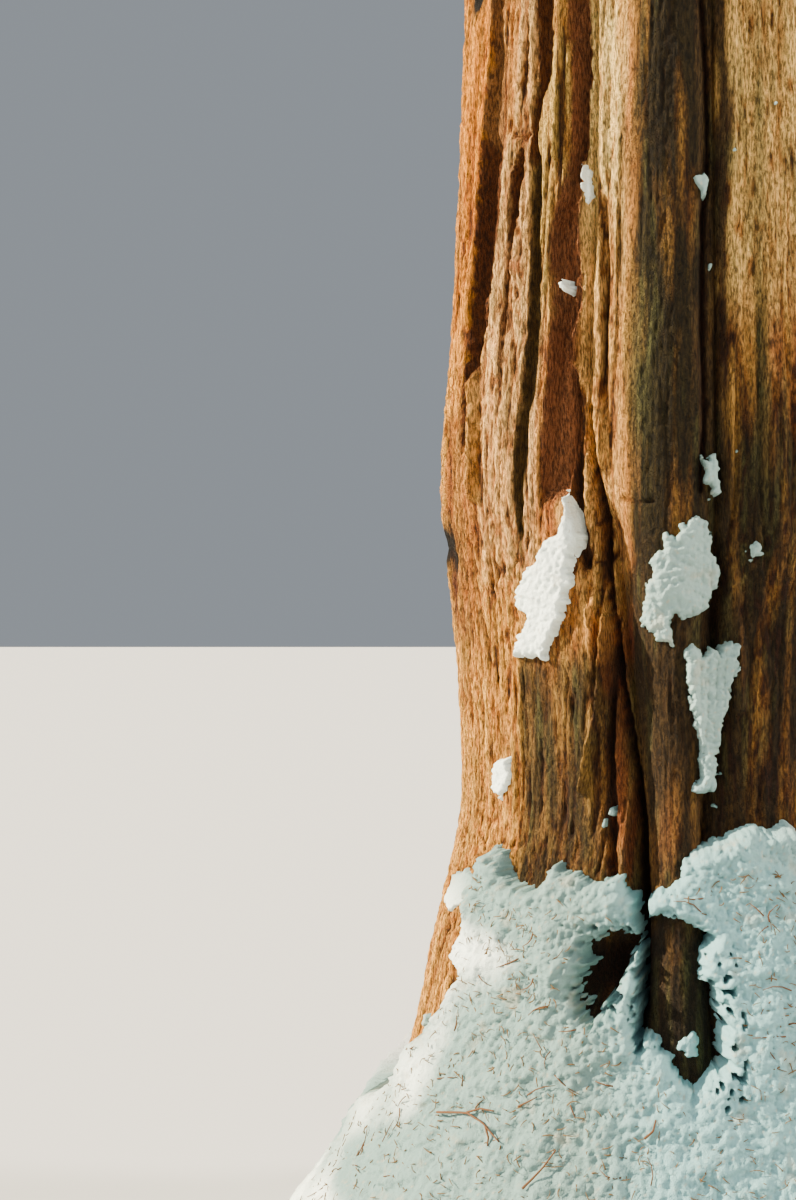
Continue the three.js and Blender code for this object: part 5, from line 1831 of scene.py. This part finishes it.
    def foot(
        self,
        name: str,
        low: float,
        high: float,
        step: float,
        replaced: Sequence[str],
        material: bpy.types.Material,
    ) -> None:
        """Make a stretch of the snow banked round the foot, from one angle to another.

        It lies over the furrows and spreads at the ground, and is left open where the bark shows: at the
        hollow and in pits at the root's front. It runs on at each side, just under the next stretch.

        Args:
            name: The piece's name.
            low: Its first angle.
            high: Its last.
            step: Its grid's step up, and about its step round.
            replaced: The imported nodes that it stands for.
            material: Its finish.
        """
        angles = np.linspace(low, high, int(math.radians(high - low) * 1.25 / step))
        angles, tucked = self.trunk.run_on(angles, True, True)
        z, angle = np.meshgrid(np.arange(0, self.bank_top, step), angles, indexing="ij")
        places = self.trunk.flow(angle.ravel(), z.ravel())
        places[:, :2] *= (self.trunk.crest_radius(z.ravel()) / WAIST_RADIUS)[:, None]
        chart = np.radians(angle.ravel()) * WAIST_RADIUS
        edge = depth_inside(chart, z.ravel(), self.foot_outline())
        edge = np.minimum(edge, -0.5 * depth_inside(chart, z.ravel(), on_chart(self.hollow)))
        pits = area(angle.ravel(), z.ravel(), *PITTED) * ease(0.25, 0.45, self.noise.read(places, PITS))
        edge = np.where(pits > 0.5, np.minimum(edge, 0.03 - 0.06 * pits), edge)
        share = np.clip(z.ravel() / self.spread_top, 0, 1)
        cover = self.cover(edge, self.thick + self.spread * (1 - share), places).reshape(z.shape)
        bark = self.trunk.bark_radius(angle, z)
        smooth = self.trunk.soft_radius(angle, z, self.furrowed * share.reshape(z.shape))
        lies_on = mix(bark, np.maximum(bark - 0.06, smooth - 0.015), ease(0, 0.8 * self.thick, cover))
        inner = np.array([0, 0, self.inner_height])
        self.sheet(name, angle, z, lies_on - tucked, cover, inner, material, replaced)

    def build(self) -> None:
        """Make the banked snow in three stretches, the patches and the flecks."""
        material = SNOW_FINISH.make()
        for bank in self.banks:
            self.foot(*bank, material)
        for patch in PATCHES:
            self.patch(patch, material)
        for index, outline in enumerate(FLECKS):
            self.patch(SnowPatch(f"snow_fleck_{index + 1:02d}", outline, 0.009, 1.0, 0.0035), material)


@dataclass(frozen=True)
class Litter:
    """Twigs and bits of shoot that lie on the banked snow."""

    snow: TrunkSnow
    count: int = 2900
    front_share: float = 0.66
    twig_share: float = 0.06
    twig_length: tuple[float, float] = (0.05, 0.13)
    shoot_length: tuple[float, float] = (0.014, 0.05)
    twig_radius: tuple[float, float] = (0.0024, 0.004)
    shoot_radius: tuple[float, float] = (0.0017, 0.003)
    taper: tuple[float, ...] = (1, 0.9, 0.75, 0.4)
    bow: float = 0.12
    sunk: float = 0.004
    bank_radius: float = 1.2  # about the banked snow's, to turn lengths across into angles
    seed: int = 33
    laid_points: int = 16
    laid_radius: tuple[float, float] = (0.0046, 0.0026)
    laid: tuple[Outline, ...] = (
        ((-32.4, 0.75), (-31, 0.785), (-29.7, 0.82), (-28.1, 0.875)),
        ((-53, 0.905), (-46.2, 0.932), (-42.3, 0.915), (-40, 0.89), (-38.2, 0.87)),
        ((-46.2, 0.932), (-43.5, 0.955), (-40.5, 0.958)),
        ((-41.5, 0.905), (-40.4, 0.875), (-40.2, 0.85)),
        ((-14, 0.93), (-12.6, 0.955), (-12.2, 0.99)),
    )

    def resting(self, angle: Array, z: Array) -> Array:
        """Give the places on the smooth top of the banked snow."""
        trunk, share = self.snow.trunk, np.clip(z / self.snow.spread_top, 0, 1)
        cover = self.snow.thick + self.snow.spread * (1 - share)
        return trunk.point(angle, trunk.radius(angle, z, self.snow.furrowed * share) - self.sunk + cover, z)

    def lay(self, surface: Surface) -> None:
        """Add the twigs that the photograph shows one by one, each raised a little off the snow."""
        for path in self.laid:
            rows = np.array(path)
            share = np.linspace(0, len(rows) - 1, self.laid_points)
            at = [np.interp(share, np.arange(len(rows)), rows[:, side]) for side in (0, 1)]
            line = self.resting(*at) + np.array([0, -0.006, 0.01])
            twig = tubes(line[None], np.linspace(*self.laid_radius, self.laid_points)[None], 6)
            surface.add(twig.points[0], twig.faces)

    def build(self) -> None:
        """Scatter the litter, most of it in front, and lay the longer twigs with it.

        A scattered piece runs past its place along the snow, from one side to the other, slightly bowed.
        """
        random = np.random.default_rng(self.seed)
        angle = random.uniform(-95, 265, self.count)
        front = random.random(self.count) < self.front_share
        angle = np.where(front, random.uniform(-85, 40, self.count), angle)
        z = random.uniform(0.02, 1.0, self.count) ** 0.8 * 1.8
        outline = self.snow.foot_outline()
        chart = np.radians((angle + 96) % 360 - 96) * WAIST_RADIUS
        lying = depth_inside(chart, z, outline) > 0.06
        lying &= depth_inside(chart, z, on_chart(self.snow.hollow)) < -0.05
        angle, z = angle[lying], z[lying]
        count = len(angle)
        twig = random.random(count) < self.twig_share
        deal = lambda span: random.uniform(*span, count)
        pick = lambda twigs, shoots: np.where(twig, deal(twigs), deal(shoots))
        length = pick(self.twig_length, self.shoot_length)
        turn = random.uniform(0, 2 * np.pi, count)
        spread = np.linspace(-0.5, 0.5, len(self.taper))
        bend = random.normal(scale=self.bow, size=(count, 1)) * (1 - 4 * spread**2)
        across = length[:, None] * (spread * np.cos(turn)[:, None] - bend * np.sin(turn)[:, None])
        up = length[:, None] * (spread * np.sin(turn)[:, None] + bend * np.cos(turn)[:, None])
        angles = angle[:, None] + np.degrees(across / self.bank_radius)
        heights = np.clip(z[:, None] + 0.7 * up, 0.004, None)
        centres = self.resting(angles.ravel(), heights.ravel()).reshape(*angles.shape, 3)
        radii = pick(self.twig_radius, self.shoot_radius)[:, None] * self.taper
        surface = tubes(centres[twig], radii[twig], 3)
        self.lay(surface)
        place_piece("litter_twigs", surface, LITTER_FINISH.make(), Slot.BOUGH_BARK)
        surface = tubes(centres[~twig], radii[~twig], 3)
        place_piece("litter_shoots", surface, SHOOT_FINISH.make(), Slot.BOUGH_BARK)


# The studio


@dataclass(frozen=True)
class Studio:
    """A plain pale floor, soft lights, and the camera of the photograph."""

    camera_place: tuple[float, float, float] = (-1.087, -6.6, 2.58)
    lens: float = 50.0
    sensor: float = 36.0
    horizon_shift: float = 40 / 1200  # how far below the middle the horizon is, as a share of the height
    floor_size: float = 1200.0
    sky: Colour = (0.78, 0.86, 0.95)
    sky_strength: float = 0.36
    suns: tuple[tuple[str, float, float, float, float, Colour], ...] = (
        # name, angle round the tree, elevation, strength, softness in degrees, colour
        ("key", -90, 28, 20, 1.5, (1.0, 0.85, 0.6)),
        ("fill", -45, 36, 2.2, 45, (1.0, 0.95, 0.85)),
        ("side", 78, 30, 5, 8, (1.0, 0.86, 0.68)),
    )

    def build(self) -> None:
        """Make the camera, the lights, the pale surroundings and the floor."""
        camera = show(bpy.data.objects.new("camera", bpy.data.cameras.new("camera")))
        camera.data.lens = self.lens
        camera.data.sensor_width = self.sensor
        camera.data.shift_y = self.horizon_shift
        camera.data.clip_end = 2000
        camera.location = self.camera_place
        camera.rotation_euler = (math.radians(90), 0, 0)
        bpy.context.scene.camera = camera
        for name, angle, elevation, strength, softness, colour in self.suns:
            light = bpy.data.lights.new(name, "SUN")
            light.energy = strength
            light.angle = math.radians(softness)
            light.color = colour
            lamp = show(bpy.data.objects.new(name, light))
            lamp.rotation_euler = (math.radians(90 - elevation), 0, math.radians(angle))
        world = bpy.data.worlds.new("surroundings")
        world.use_nodes = True
        background = world.node_tree.nodes["Background"].inputs
        background["Color"].default_value = (*self.sky, 1)
        background["Strength"].default_value = self.sky_strength
        bpy.context.scene.world = world
        floor = Surface()
        corners = np.array([[-1, -1, 0], [1, -1, 0], [1, 1, 0], [-1, 1, 0]]) * self.floor_size / 2
        floor.add(corners, [np.arange(4)[None]])
        ground = show(bpy.data.objects.new("floor", floor.mesh("floor")))
        ground.data.materials.append(FLOOR_FINISH.make())


def main() -> None:
    """Build the tree part by part."""
    logging.basicConfig(level=logging.INFO, format="%(message)s")
    Studio().build()
    trunk = Trunk()
    trunk.build()
    snow = TrunkSnow(trunk)
    snow.build()
    Litter(snow).build()
    Crown(trunk, CrownPlan(trunk)).build()


if __name__ == "__main__":
    main()
